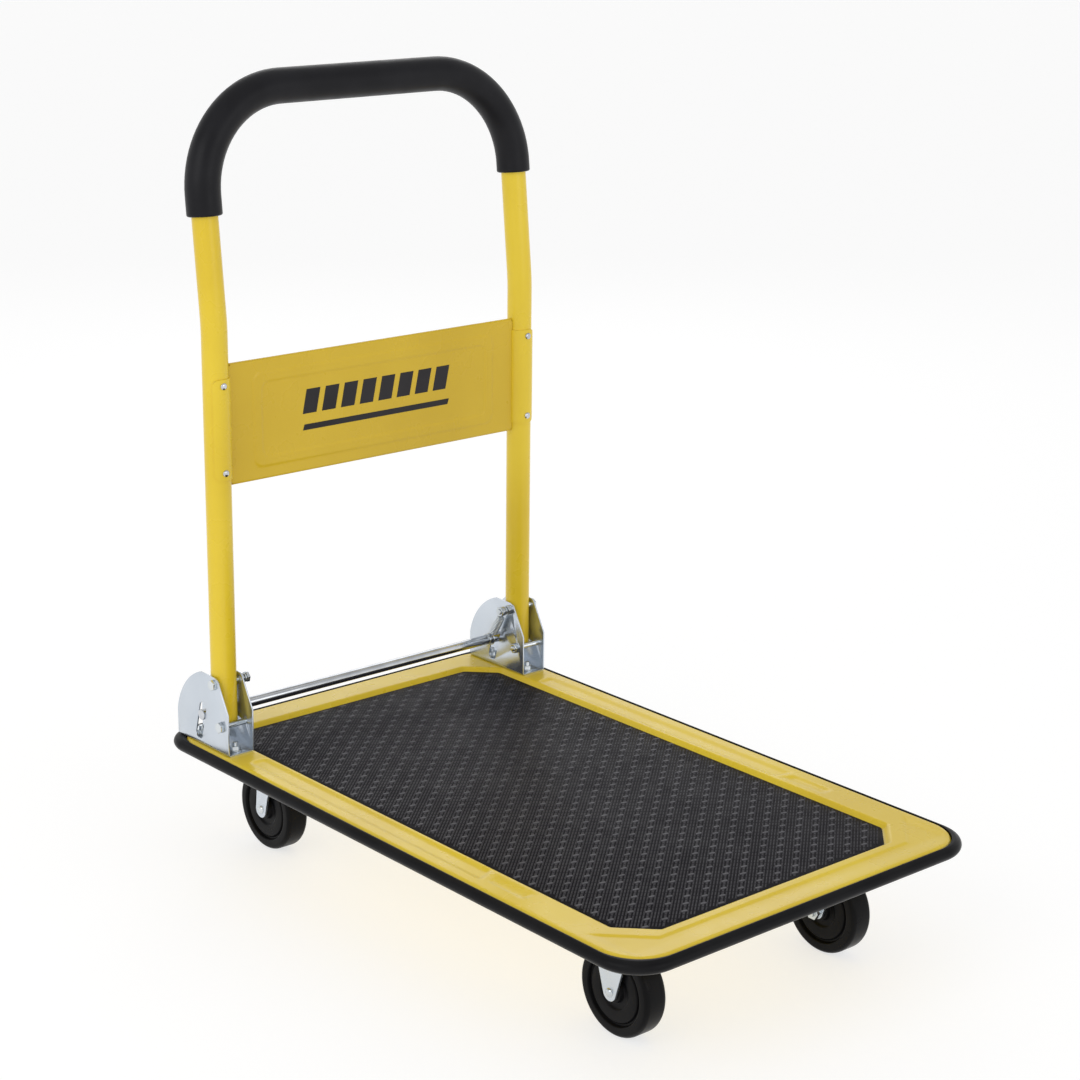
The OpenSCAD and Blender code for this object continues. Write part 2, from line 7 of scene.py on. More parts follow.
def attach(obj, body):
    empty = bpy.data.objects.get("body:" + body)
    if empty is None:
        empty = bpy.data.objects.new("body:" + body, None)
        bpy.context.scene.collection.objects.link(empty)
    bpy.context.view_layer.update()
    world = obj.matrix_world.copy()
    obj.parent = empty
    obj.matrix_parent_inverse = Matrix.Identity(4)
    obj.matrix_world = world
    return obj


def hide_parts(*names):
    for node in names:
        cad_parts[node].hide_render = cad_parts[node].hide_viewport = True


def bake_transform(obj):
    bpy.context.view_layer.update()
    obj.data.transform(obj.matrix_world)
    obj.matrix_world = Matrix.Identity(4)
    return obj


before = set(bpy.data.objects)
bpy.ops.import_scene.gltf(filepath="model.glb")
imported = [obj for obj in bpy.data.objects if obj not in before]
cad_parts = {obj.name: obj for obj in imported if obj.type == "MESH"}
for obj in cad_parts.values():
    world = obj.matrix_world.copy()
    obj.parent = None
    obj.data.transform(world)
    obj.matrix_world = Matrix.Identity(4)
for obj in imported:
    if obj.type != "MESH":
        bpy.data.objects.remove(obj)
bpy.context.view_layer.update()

mm = 0.001

# main places of the cart, in millimetres
cart = {
    "deckLength": 706.2, "deckWidth": 430.2, "cornerRadius": 44, "rimTop": 126.6,
    "skirtBottom": 113.6, "floorPan": 121.5,
    "matRear": -313.5, "matFront": 308, "matWidth": 344.4, "matCut": 27.8,
    "legX": -281.2, "legY": 194.1, "pivotX": -276.2, "pivotZ": 198,
    "rodX": -299.6, "rodZ": 159.6, "casterY": 133, "frontAxle": 252.5, "rearAxle": -286,
    "swivelX": -258, "wheelRadius": 44,
}


def newPiece(name, verts, faces, material, smoothAngle=35, scale=mm):
    mesh = bpy.data.meshes.new(name)
    mesh.from_pydata([Vector(v) * scale for v in verts], [], faces)
    mesh.validate()
    piece = bpy.data.objects.new(name, mesh)
    bpy.context.scene.collection.objects.link(piece)
    mesh.materials.append(material)
    shadeSmooth(piece, smoothAngle)
    return piece


# turns a finished bmesh into a piece in the scene
def keepMesh(work, name, *materials):
    mesh = bpy.data.meshes.new(name)
    work.to_mesh(mesh)
    work.free()
    piece = bpy.data.objects.new(name, mesh)
    bpy.context.scene.collection.objects.link(piece)
    for material in materials:
        mesh.materials.append(material)
    return piece


def shadeSmooth(piece, angle):
    mesh = piece.data
    for face in mesh.polygons:
        face.use_smooth = True
    mesh.set_sharp_from_angle(angle=math.radians(angle))


def cleanNormals(piece, weld=0.00001):
    work = bmesh.new()
    work.from_mesh(piece.data)
    bmesh.ops.remove_doubles(work, verts=work.verts, dist=weld)
    bmesh.ops.recalc_face_normals(work, faces=work.faces)
    work.to_mesh(piece.data)
    work.free()


def applyModifiers(piece):
    graph = bpy.context.evaluated_depsgraph_get()
    mesh = bpy.data.meshes.new_from_object(piece.evaluated_get(graph))
    old = piece.data
    piece.modifiers.clear()
    piece.data = mesh
    bpy.data.meshes.remove(old)


def place(piece, body, finish, *nodes):
    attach(piece, body)
    if nodes:
        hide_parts(*nodes)
    return piece


def smoothStep(a, b, x):
    t = min(1.0, max(0.0, (x - a) / (b - a)))
    return t * t * (3 - 2 * t)


# 0 to 1 over a length that starts at a place, and 1 to 0 over a length that ends there
def rise(place, length, x):
    return smoothStep(place, place + length, x)


def fall(place, length, x):
    return 1 - smoothStep(place - length, place, x)


# for the copies of frame parts: lengths in metres, angle in radians
easing = {"weld": 0.000002, "flat": math.radians(0.6), "touch": 0.00005, "foldLength": 0.02, "foldSteps": 5}


# a frame part with its edges eased, welded from the loose faces, and folded along the level in bend
def easedCopy(node, name, body, finish, material, ease=0.3, angle=32, steps=2, bend=None):
    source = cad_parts[node]
    work = bmesh.new()
    work.from_mesh(source.data)
    bmesh.ops.remove_doubles(work, verts=work.verts, dist=easing["weld"])
    bmesh.ops.dissolve_limit(work, angle_limit=easing["flat"], verts=work.verts, edges=work.edges)
    work.normal_update()
    if bend:
        level, radius = bend
        touch = easing["touch"]
        folded = [e for e in work.edges if all(abs(v.co.z - level * mm) < touch for v in e.verts)
                  and abs(e.verts[0].co.y - e.verts[1].co.y) < touch
                  and e.calc_length() > easing["foldLength"]]
        bmesh.ops.bevel(work, geom=folded, offset=radius * mm, segments=easing["foldSteps"], profile=0.5,
                        affect="EDGES")
        work.normal_update()
    sharp = [e for e in work.edges if len(e.link_faces) == 2 and e.calc_face_angle(0) > math.radians(angle)]
    if ease > 0:
        bmesh.ops.bevel(work, geom=sharp, offset=ease * mm, segments=steps, profile=0.5,
                        affect="EDGES", clamp_overlap=True)
    piece = keepMesh(work, name, material)
    shadeSmooth(piece, 30)
    return place(piece, body, finish, node)


# rings of points joined side by side; each ring has the same count
def skinRings(rings, closedRing=True, closedRow=False, capStart=False, capEnd=False):
    verts = [p for ring in rings for p in ring]
    count = len(rings[0])
    faces = []
    rows = len(rings) if closedRow else len(rings) - 1
    cols = count if closedRing else count - 1
    for r in range(rows):
        a = r * count
        b = ((r + 1) % len(rings)) * count
        for c in range(cols):
            d = (c + 1) % count
            faces.append((a + c, a + d, b + d, b + c))
    if capStart:
        faces.append(tuple(reversed(range(count))))
    if capEnd:
        faces.append(tuple(range((len(rings) - 1) * count, len(rings) * count)))
    return verts, faces


def joinPieces(name, parts, angle, *materials):
    work = bmesh.new()
    for part in parts:
        work.from_mesh(part.data)
    piece = keepMesh(work, name, *materials)
    for part in parts:
        bpy.data.objects.remove(part)
    shadeSmooth(piece, angle)
    return piece


# circles of radius r along a path, turned as little as possible
def sweepRings(path, radii, sides, firstSide=Vector((1, 0, 0))):
    rings = []
    side = firstSide.copy()
    for i, point in enumerate(path):
        ahead = (path[min(i + 1, len(path) - 1)] - path[max(i - 1, 0)]).normalized()
        side = (side - ahead * side.dot(ahead)).normalized()
        other = ahead.cross(side)
        rings.append([point + side * (radii[i] * math.cos(2 * math.pi * k / sides))
                      + other * (radii[i] * math.sin(2 * math.pi * k / sides)) for k in range(sides)])
    return rings


def latheRings(profile, centre, steps):
    rings = []
    for k in range(steps):
        t = 2 * math.pi * k / steps
        rings.append([Vector((centre[0] + r * math.cos(t), centre[1] + w, centre[2] + r * math.sin(t)))
                      for r, w in profile])
    return rings


# polygon with its corners rounded; corners are (x, y, radius)
def roundProfile(corners, steps=4):
    out = []
    n = len(corners)
    for i, (x, y, r) in enumerate(corners):
        p = Vector((x, y))
        if r <= 0:
            out.append(p)
            continue
        a = Vector(corners[i - 1][:2]) - p
        b = Vector(corners[(i + 1) % n][:2]) - p
        reach = min(r, a.length * 0.45, b.length * 0.45)
        start = p + a.normalized() * reach
        end = p + b.normalized() * reach
        for s in range(steps + 1):
            t = s / steps
            out.append(start * (1 - t) ** 2 + p * (2 * t * (1 - t)) + end * t ** 2)
    return out


# every finish starts from the standard shader and reads the piece's own coordinates
def startFinish(name, settings):
    material = bpy.data.materials.new(name)
    material.use_nodes = True
    tree = material.node_tree
    shader = tree.nodes["Principled BSDF"]
    for key, value in settings.items():
        shader.inputs[key].default_value = value
    coords = tree.nodes.new("ShaderNodeTexCoord")
    return material, tree, shader, coords


def noiseField(tree, coords, scale, detail=3.0, rough=0.5, stretch=(1, 1, 1)):
    mapping = tree.nodes.new("ShaderNodeMapping")
    mapping.inputs["Scale"].default_value = stretch
    tree.links.new(coords.outputs["Object"], mapping.inputs["Vector"])
    noise = tree.nodes.new("ShaderNodeTexNoise")
    noise.inputs["Scale"].default_value = scale
    noise.inputs["Detail"].default_value = detail
    noise.inputs["Roughness"].default_value = rough
    tree.links.new(mapping.outputs["Vector"], noise.inputs["Vector"])
    return noise


def blendColours(tree, fac, low, high, start=0.35, end=0.65):
    ramp = tree.nodes.new("ShaderNodeValToRGB")
    ramp.color_ramp.elements[0].position = start
    ramp.color_ramp.elements[0].color = (*low, 1)
    ramp.color_ramp.elements[1].position = end
    ramp.color_ramp.elements[1].color = (*high, 1)
    tree.links.new(fac, ramp.inputs["Fac"])
    return ramp.outputs["Color"]


def rangeOf(tree, value, low, high):
    node = tree.nodes.new("ShaderNodeMapRange")
    node.inputs["From Min"].default_value = 0.3
    node.inputs["From Max"].default_value = 0.7
    node.inputs["To Min"].default_value = low
    node.inputs["To Max"].default_value = high
    tree.links.new(value, node.inputs["Value"])
    return node.outputs["Result"]


def addBump(tree, shader, height, strength, distance):
    bump = tree.nodes.new("ShaderNodeBump")
    bump.inputs["Strength"].default_value = strength
    bump.inputs["Distance"].default_value = distance
    tree.links.new(height, bump.inputs["Height"])
    previous = shader.inputs["Normal"].links
    if previous:
        tree.links.new(previous[0].from_socket, bump.inputs["Normal"])
    tree.links.new(bump.outputs["Normal"], shader.inputs["Normal"])


# the same sprayed yellow on the deck and on the panel; the panel's copy is a shade deeper, painted shade for
# its upright face
paintLook = {"cloudScale": 7.0, "patchScale": 31.0, "peelScale": 420, "peelDepth": 0.00003,
             "peelStrength": 0.06, "rough": (0.24, 0.34), "coatRough": 0.12}
deckPaintLook = {"deep": (0.72, 0.51, 0.022), "bright": (0.79, 0.58, 0.032), "coat": 0.12, "shine": 0.36}
shadedPanelPaintLook = {"deep": (0.61, 0.410, 0.020), "bright": (0.67, 0.460, 0.026), "coat": 0.06, "shine": 0.34}


def yellowPaintFinish(name, look):
    material, tree, shader, coords = startFinish(name, {
        "Metallic": 0.0, "Coat Weight": look["coat"], "Coat Roughness": paintLook["coatRough"],
        "Specular IOR Level": look["shine"]})
    cloud = noiseField(tree, coords, paintLook["cloudScale"], 4)
    tree.links.new(blendColours(tree, cloud.outputs["Fac"], look["deep"], look["bright"]),
                   shader.inputs["Base Color"])
    patches = noiseField(tree, coords, paintLook["patchScale"], 3)
    tree.links.new(rangeOf(tree, patches.outputs["Fac"], *paintLook["rough"]), shader.inputs["Roughness"])
    peel = noiseField(tree, coords, paintLook["peelScale"], 2)
    addBump(tree, shader, peel.outputs["Fac"], paintLook["peelStrength"], paintLook["peelDepth"])
    return material


# smooth zinc on the plates, brighter and more uneven zinc on what is turned or threaded
zincLook = {"cloudScale": 16.0, "spangle": 120, "drawnScale": 900, "drawnStretch": (0.25, 1, 1),
            "drawnStrength": 0.05, "drawnDepth": 0.00002}
plateZincLook = {"dark": (0.57, 0.62, 0.68), "light": (0.65, 0.70, 0.76), "rough": (0.22, 0.27)}
boltZincLook = {"dark": (0.46, 0.50, 0.53), "light": (0.78, 0.82, 0.84), "rough": (0.12, 0.22)}


def zincFinish(name, look):
    material, tree, shader, coords = startFinish(name, {"Metallic": 0.92, "Specular IOR Level": 0.5})
    cloud = noiseField(tree, coords, zincLook["cloudScale"], 2, 0.4)
    tree.links.new(blendColours(tree, cloud.outputs["Fac"], look["dark"], look["light"], 0.25, 0.7),
                   shader.inputs["Base Color"])
    grain = noiseField(tree, coords, zincLook["spangle"], 3)
    tree.links.new(rangeOf(tree, grain.outputs["Fac"], *look["rough"]), shader.inputs["Roughness"])
    drawn = noiseField(tree, coords, zincLook["drawnScale"], 2, 0.5, zincLook["drawnStretch"])
    addBump(tree, shader, drawn.outputs["Fac"], zincLook["drawnStrength"], zincLook["drawnDepth"])
    return material


chromeLook = {"dark": (0.50, 0.52, 0.55), "light": (0.62, 0.64, 0.67), "cloudScale": 60,
              "streakScale": 300, "streakStretch": (1, 0.05, 1), "rough": (0.10, 0.19)}


def chromeFinish():
    look = chromeLook
    material, tree, shader, coords = startFinish("brightChrome", {"Metallic": 1.0})
    cloud = noiseField(tree, coords, look["cloudScale"], 3)
    tree.links.new(blendColours(tree, cloud.outputs["Fac"], look["dark"], look["light"]),
                   shader.inputs["Base Color"])
    streak = noiseField(tree, coords, look["streakScale"], 2, 0.5, look["streakStretch"])
    tree.links.new(rangeOf(tree, streak.outputs["Fac"], *look["rough"]), shader.inputs["Roughness"])
    return material


# every black finish: its two tones, roughness range, grain size and depth, and shine
rubberLook = {"cloudScale": 22, "patchScale": 55, "grainStrength": 0.3}
rubberKinds = {
    "matRubber": {"dark": (0.006, 0.0055, 0.008), "light": (0.009, 0.0085, 0.011),
                  "rough": (0.45, 0.58), "grain": 1400, "depth": 0.00003, "shine": 0.08},
    "treadRubber": {"dark": (0.021, 0.0195, 0.0255), "light": (0.028, 0.0265, 0.0330),
                    "rough": (0.40, 0.52), "grain": 1400, "depth": 0.00003, "shine": 0.12},
    # the dashes are the mat's own rubber drawn lighter, a painted highlight for the gloss on their tops
    "dashHighlightRubber": {"dark": (0.048, 0.0465, 0.055), "light": (0.062, 0.0605, 0.070),
                   "rough": (0.36, 0.46), "grain": 1400, "depth": 0.00003, "shine": 0.2},
    "bumperRubber": {"dark": (0.005, 0.005, 0.006), "light": (0.009, 0.009, 0.010),
                     "rough": (0.30, 0.40), "grain": 700, "depth": 0.00002, "shine": 0.1},
    "gripFoam": {"dark": (0.007, 0.0070, 0.009), "light": (0.011, 0.0110, 0.0135),
                 "rough": (0.34, 0.44), "grain": 1100, "depth": 0.00003, "shine": 0.16},
    "wheelRubber": {"dark": (0.0035, 0.0035, 0.004), "light": (0.007, 0.007, 0.008),
                    "rough": (0.26, 0.38), "grain": 600, "depth": 0.00003, "shine": 0.08},
    "markInk": {"dark": (0.012, 0.010, 0.012), "light": (0.017, 0.015, 0.017),
                "rough": (0.40, 0.50), "grain": 900, "depth": 0.00001, "shine": 0.3},
}


def rubberFinish(name):
    look = rubberKinds[name]
    material, tree, shader, coords = startFinish(name, {
        "Metallic": 0.0, "Specular IOR Level": look["shine"]})
    cloud = noiseField(tree, coords, rubberLook["cloudScale"], 4)
    tree.links.new(blendColours(tree, cloud.outputs["Fac"], look["dark"], look["light"]),
                   shader.inputs["Base Color"])
    patches = noiseField(tree, coords, rubberLook["patchScale"], 3)
    tree.links.new(rangeOf(tree, patches.outputs["Fac"], *look["rough"]), shader.inputs["Roughness"])
    grain = noiseField(tree, coords, look["grain"], 3)
    addBump(tree, shader, grain.outputs["Fac"], rubberLook["grainStrength"], look["depth"])
    return material


deckPaint = yellowPaintFinish("deckPaint", deckPaintLook)
# the panel's yellow is the deck's yellow darkened as painted shade
shadedPanelPaint = yellowPaintFinish("shadedPanelPaint", shadedPanelPaintLook)
zincPlate = zincFinish("zincPlate", plateZincLook)
boltZinc = zincFinish("boltZinc", boltZincLook)
brightChrome = chromeFinish()
matRubber = rubberFinish("matRubber")
treadRubber = rubberFinish("treadRubber")
dashHighlightRubber = rubberFinish("dashHighlightRubber")
bumperRubber = rubberFinish("bumperRubber")
gripFoam = rubberFinish("gripFoam")
wheelRubber = rubberFinish("wheelRubber")
markInk = rubberFinish("markInk")
print("finishes made")


# the deck is one pressed sheet: a seat for the mat, side grooves, a front field and a turned-down skirt
deckLook = {
    "edgeRadius": 5.0, "edgeSteps": 7, "sheet": 1.4, "fine": 1.5, "coarse": 9.0,
    "fineRear": -285, "fineFront": 276, "fineSide": 140,
    "fineAcross": ((-238, -218), (114, 150), (180, 200)),
    "wallStart": 0.6, "wallEnd": 6.2, "seatDrop": 5.1,
    "grooveInner": 178.5, "grooveOuter": 203.0, "grooveWall": 8.0, "grooveDepth": 1.9,
    "grooveRear": -232, "grooveSplit": 128, "grooveFront": 194, "frontStepX": 322,
    "grooveSlant": 0.42, "longRearWall": 8, "longFrontWall": 7,
    "shortDepth": 0.85, "shortIn": 3, "shortInnerWall": 10, "shortOuterWall": 6,
    "shortGap": 3, "shortRearWall": 8, "shortFrontWall": 9,
    "frontDepth": 1.1, "frontWall": 3.0, "frontEnd": 329, "frontFade": 19,
    "cornerStart": 158, "cornerSide": 206, "cornerFade": 12,
}
halfLength = cart["deckLength"] / 2
halfWidth = cart["deckWidth"] / 2


def matDistance(x, y):
    # how far a point lies outside the mat's outline, in millimetres, negative inside
    ay = abs(y)
    middle = (cart["matFront"] + cart["matRear"]) / 2
    ax = abs(x - middle)
    hx = (cart["matFront"] - cart["matRear"]) / 2
    hy = cart["matWidth"] / 2
    diagonal = (ax - hx + ay - hy + cart["matCut"]) / math.sqrt(2)
    inside = max(ax - hx, ay - hy, diagonal)
    if inside <= 0:
        return inside
    a = Vector((hx, hy - cart["matCut"]))
    b = Vector((hx - cart["matCut"], hy))
    p = Vector((ax, ay))
    best = 1e9
    for s, e in ((Vector((hx, 0)), a), (a, b), (b, Vector((0, hy)))):
        t = min(1.0, max(0.0, (p - s).dot(e - s) / (e - s).length_squared))
        best = min(best, (s + (e - s) * t - p).length)
    return best


def deckHeight(x, y):
    look = deckLook
    ay = abs(y)
    outside = smoothStep(look["wallStart"], look["wallEnd"], matDistance(x, y))
    z = cart["rimTop"] - look["seatDrop"] * (1 - outside)
    # long groove pressed into each side, then a shorter and shallower one in front of it
    inner, outer, wall = look["grooveInner"], look["grooveOuter"], look["grooveWall"]
    rear, split, front = look["grooveRear"], look["grooveSplit"], look["grooveFront"]
    slanted = x - (ay - inner) * look["grooveSlant"]
    across = rise(inner, wall, ay) * fall(outer, wall, ay)
    along = rise(rear, look["longRearWall"], x) * fall(split, look["longFrontWall"], slanted)
    z -= look["grooveDepth"] * across * along
    across = rise(inner + look["shortIn"], look["shortInnerWall"], ay) \
        * fall(outer - look["shortIn"], look["shortOuterWall"], ay)
    along = rise(split + look["shortGap"], look["shortRearWall"], slanted) \
        * fall(front, look["shortFrontWall"], x)
    z -= look["grooveDepth"] * look["shortDepth"] * across * along
    # shallow field across the front, widening into both corners
    ahead = x - look["frontStepX"]
    if ay > look["cornerStart"]:
        ahead = max(ahead, (ahead + ay - look["cornerStart"]) / math.sqrt(2))
    field = rise(0, look["frontWall"], ahead)
    field *= fall(look["frontEnd"] + look["frontFade"], look["frontFade"], x)
    field *= fall(look["cornerSide"], look["cornerFade"], ay)
    return z - look["frontDepth"] * field


def gridLines(low, high, fineBands, fine, coarse):
    lines = [low]
    while lines[-1] < high - 1e-6:
        x = lines[-1]
        inBand = any(a - 1e-6 <= x < b for a, b in fineBands)
        step = fine if inBand else coarse
        for a, b in fineBands:
            if x < a and x + step > a:
                step = a - x
        lines.append(min(high, x + max(step, 0.4)))
    return lines


def makeDeck():
    look = deckLook
    e = look["edgeRadius"]
    inX, inY, r = halfLength - e, halfWidth - e, cart["cornerRadius"] - e
    xs = gridLines(-inX, inX, [(-inX, look["fineRear"]), *look["fineAcross"], (look["fineFront"], inX)],
                   look["fine"], look["coarse"])
    ys = gridLines(-inY, inY, [(-inY, -look["fineSide"]), (look["fineSide"], inY)],
                   look["fine"], look["coarse"])

    def pullIn(x, y):
        # points outside the rounded outline move onto it
        cx, cy = abs(x) - (inX - r), abs(y) - (inY - r)
        if cx > 0 and cy > 0 and math.hypot(cx, cy) > r:
            k = r / math.hypot(cx, cy)
            return math.copysign(inX - r + cx * k, x), math.copysign(inY - r + cy * k, y), True
        return x, y, False

    work = bmesh.new()
    rows = []
    for y in ys:
        row = []
        for x in xs:
            px, py, moved = pullIn(x, y)
            row.append((work.verts.new((px * mm, py * mm, deckHeight(px, py) * mm)), moved))
        rows.append(row)
    for j in range(len(ys) - 1):
        for i in range(len(xs) - 1):
            quad = [rows[j][i], rows[j][i + 1], rows[j + 1][i + 1], rows[j + 1][i]]
            if all(moved for _, moved in quad):
                continue
            work.faces.new([v for v, _ in quad])
    bmesh.ops.remove_doubles(work, verts=work.verts, dist=0.00002)
    loose = [v for v in work.verts if not v.link_faces]
    bmesh.ops.delete(work, geom=loose, context="VERTS")
    # roll the edge over and turn the skirt down
    profile = []
    for s in range(1, look["edgeSteps"] + 1):
        t = math.pi / 2 * s / look["edgeSteps"]
        profile.append((e * math.sin(t), -e * (1 - math.cos(t))))
    skirt = cart["skirtBottom"] - cart["rimTop"]
    profile.append((e, skirt))
    border = [edge for edge in work.edges if edge.is_boundary]
    ring = {v: v for edge in border for v in edge.verts}

    def outward(co):
        x, y = co.x / mm, co.y / mm
        cx, cy = abs(x) - (inX - r), abs(y) - (inY - r)
        if cx > 1e-6 and cy > 1e-6:
            n = Vector((math.copysign(cx, x), math.copysign(cy, y), 0))
        elif cx > cy:
            n = Vector((math.copysign(1, x), 0, 0))
        else:
            n = Vector((0, math.copysign(1, y), 0))
        return n.normalized()

    base = {v: (v.co.copy(), outward(v.co)) for v in ring}
    current = dict(ring)
    for out, down in profile:
        following = {}
        for v, (co, n) in base.items():
            z = cart["skirtBottom"] * mm if down == skirt else co.z + down * mm
            following[v] = work.verts.new((co.x + n.x * out * mm, co.y + n.y * out * mm, z))
        for edge in border:
            a, b = edge.verts
            work.faces.new((current[a], current[b], following[b], following[a]))
        current = following
    bmesh.ops.recalc_face_normals(work, faces=work.faces)
    deck = keepMesh(work, "deckSkin", deckPaint)
    top = max(deck.data.polygons, key=lambda f: f.area)
    if top.normal.z < 0:
        deck.data.flip_normals()
    shadeSmooth(deck, 60)
    wall = deck.modifiers.new("sheet", "SOLIDIFY")
    wall.thickness = look["sheet"] * mm
    wall.offset = -1
    wall.use_rim = True
    applyModifiers(deck)
    shadeSmooth(deck, 50)
    place(deck, "chassis", "yellow_paint", "deck_pan")


makeDeck()
easedCopy("cross_rails", "crossRails", "chassis", "yellow_paint", deckPaint, 0.7)
print("deck made")


bumperLook = {"reach": 7.5, "rearRadius": 29, "frontRadius": 38, "cornerSteps": 24, "corner": 44}


# the inner lip follows the deck while the nose takes a tighter corner and bulges out
def makeBumper():
    look = bumperLook
    o, top, low = look["reach"], cart["rimTop"], cart["skirtBottom"]
    nose = [(-5.2, low - 0.25, 0.3), (-5.2, low - 1.25, 0.3), (0.9, low - 1.25, 1.2), (o - 1.7, 115.6, 2.6),
            (o, 119.7, 3.2), (o - 1.6, 123.7, 2.6), (1.3, top - 0.5, 0.7), (0.1, top - 0.55, 0.2),
            (0.1, low - 0.25, 0.2)]
    section = roundProfile(nose, 5)
    rings = []
    for start, sx, sy in ((0, 1, 1), (90, -1, 1), (180, -1, -1), (270, 1, -1)):
        tight = look["frontRadius"] if sx > 0 else look["rearRadius"]
        for s in range(look["cornerSteps"] + 1):
            t = math.radians(start + 90 * s / look["cornerSteps"])
            n = Vector((math.cos(t), math.sin(t), 0))
            ring = []
            for p in section:
                r = look["corner"] + (tight - look["corner"]) * smoothStep(0.2, 2.0, p.x)
                centre = Vector((sx * (halfLength - r), sy * (halfWidth - r), 0))
                ring.append(centre + n * (r + p.x) + Vector((0, 0, p.y)))
            rings.append(ring)
    verts, faces = skinRings(rings, True, True)
    bumper = newPiece("edgeBumper", verts, faces, bumperRubber, 48)
    cleanNormals(bumper)
    shadeSmooth(bumper, 48)
    place(bumper, "chassis", "bumper_rubber", "bumper")


makeBumper()
print("bumper made")


# the mat has a flat base, and stripes and dashes laid out on two slanting steps
matLook = {"baseTop": 122.9, "lip": 0.5, "across": (9.554, 12.494), "along": (10.413, -11.761),
           "phase": (3.43, -2.42), "barHeight": 0.56, "stripes": (0.219, 0.406, 0.594, 0.781),
           "stripeWidth": 1.55, "spineWidth": 2.2, "dashLength": 7.4, "dashWidth": 3.7, "dashTurn": 78.0,
           "stripeShare": 0.9, "dashShare": 1.05, "barSlope": 0.36, "gridCount": 61}


def makeMatBase():
    x0, x1, y, c = cart["matRear"], cart["matFront"], cart["matWidth"] / 2, cart["matCut"]
    corners = [(x0, -y + c), (x0 + c, -y), (x1 - c, -y), (x1, -y + c), (x1, y - c), (x1 - c, y), (x0 + c, y),
               (x0, y - c)]
    outline = roundProfile([(px, py, 3.0) for px, py in corners], 4)
    lip = matLook["lip"]
    rings = []
    middle = Vector(((x0 + x1) / 2, 0))
    top = matLook["baseTop"]
    foot = cart["floorPan"] + 0.05
    for shrink, z in ((0, foot), (0, top - lip), (lip * 0.3, top - lip * 0.3), (lip, top)):
        rings.append([])
        for p in outline:
            d = (middle - p).normalized() * shrink
            rings[-1].append(Vector((p.x + d.x, p.y + d.y, z)))
    verts, faces = skinRings(rings, True, False, True, True)
    base = newPiece("matBase", verts, faces, matRubber, 40)
    cleanNormals(base)
    place(base, "chassis", "mat_rubber", "mat")


def socketId(tree, name):
    return next(i.identifier for i in tree.interface.items_tree if i.name == name and i.in_out == "INPUT")


def addInput(tree, name, kind, value):
    socket = tree.interface.new_socket(name=name, in_out="INPUT", socket_type=kind)
    socket.default_value = value
    return socket


def mathNode(tree, operation, a, b=None):
    node = tree.nodes.new("ShaderNodeMath")
    node.operation = operation
    for slotNumber, value in ((0, a), (1, b)):
        if value is None:
            continue
        if isinstance(value, (int, float)):
            node.inputs[slotNumber].default_value = value
        else:
            tree.links.new(value, node.inputs[slotNumber])
    return node.outputs[0]


# a raised bar with sloping sides, one unit long and wide, standing on z = 0
def barMesh():
    t = matLook["barSlope"]
    verts = [(-0.5, -0.5, 0), (0.5, -0.5, 0), (0.5, 0.5, 0), (-0.5, 0.5, 0),
             (-0.5 + t * 0.25, -0.5 + t * 0.5, 1), (0.5 - t * 0.25, -0.5 + t * 0.5, 1),
             (0.5 - t * 0.25, 0.5 - t * 0.5, 1), (-0.5 + t * 0.25, 0.5 - t * 0.5, 1)]
    faces = [(0, 1, 5, 4), (1, 2, 6, 5), (2, 3, 7, 6), (3, 0, 4, 7), (4, 5, 6, 7)]
    mesh = bpy.data.meshes.new("treadBar")
    mesh.from_pydata(verts, [], faces)
    return bpy.data.objects.new("treadBar", mesh)


# bars of one cell: shares of the two steps, length, width and heading
def dashBars():
    look = matLook
    return [(0.0, 0.0, look["dashLength"], look["dashWidth"], math.radians(look["dashTurn"]))]


def stripeBars():
    look = matLook
    step = Vector(look["along"])
    heading = math.atan2(step.y, step.x)
    half = step.length / 2
    bars = [(0.0, part, half, look["spineWidth"], heading) for part in (0.25, 0.75)]
    for share in look["stripes"]:
        bars += [(share, part, half, look["stripeWidth"], heading) for part in (0.25, 0.75)]
    return bars


def scaled(tree, vector, factor):
    node = tree.nodes.new("ShaderNodeVectorMath")
    node.operation = "SCALE"
    tree.links.new(vector, node.inputs[0])
    tree.links.new(factor, node.inputs["Scale"])
    return node.outputs[0]


def summed(tree, a, b):
    node = tree.nodes.new("ShaderNodeVectorMath")
    node.operation = "ADD"
    tree.links.new(a, node.inputs[0])
    tree.links.new(b, node.inputs[1])
    return node.outputs[0]


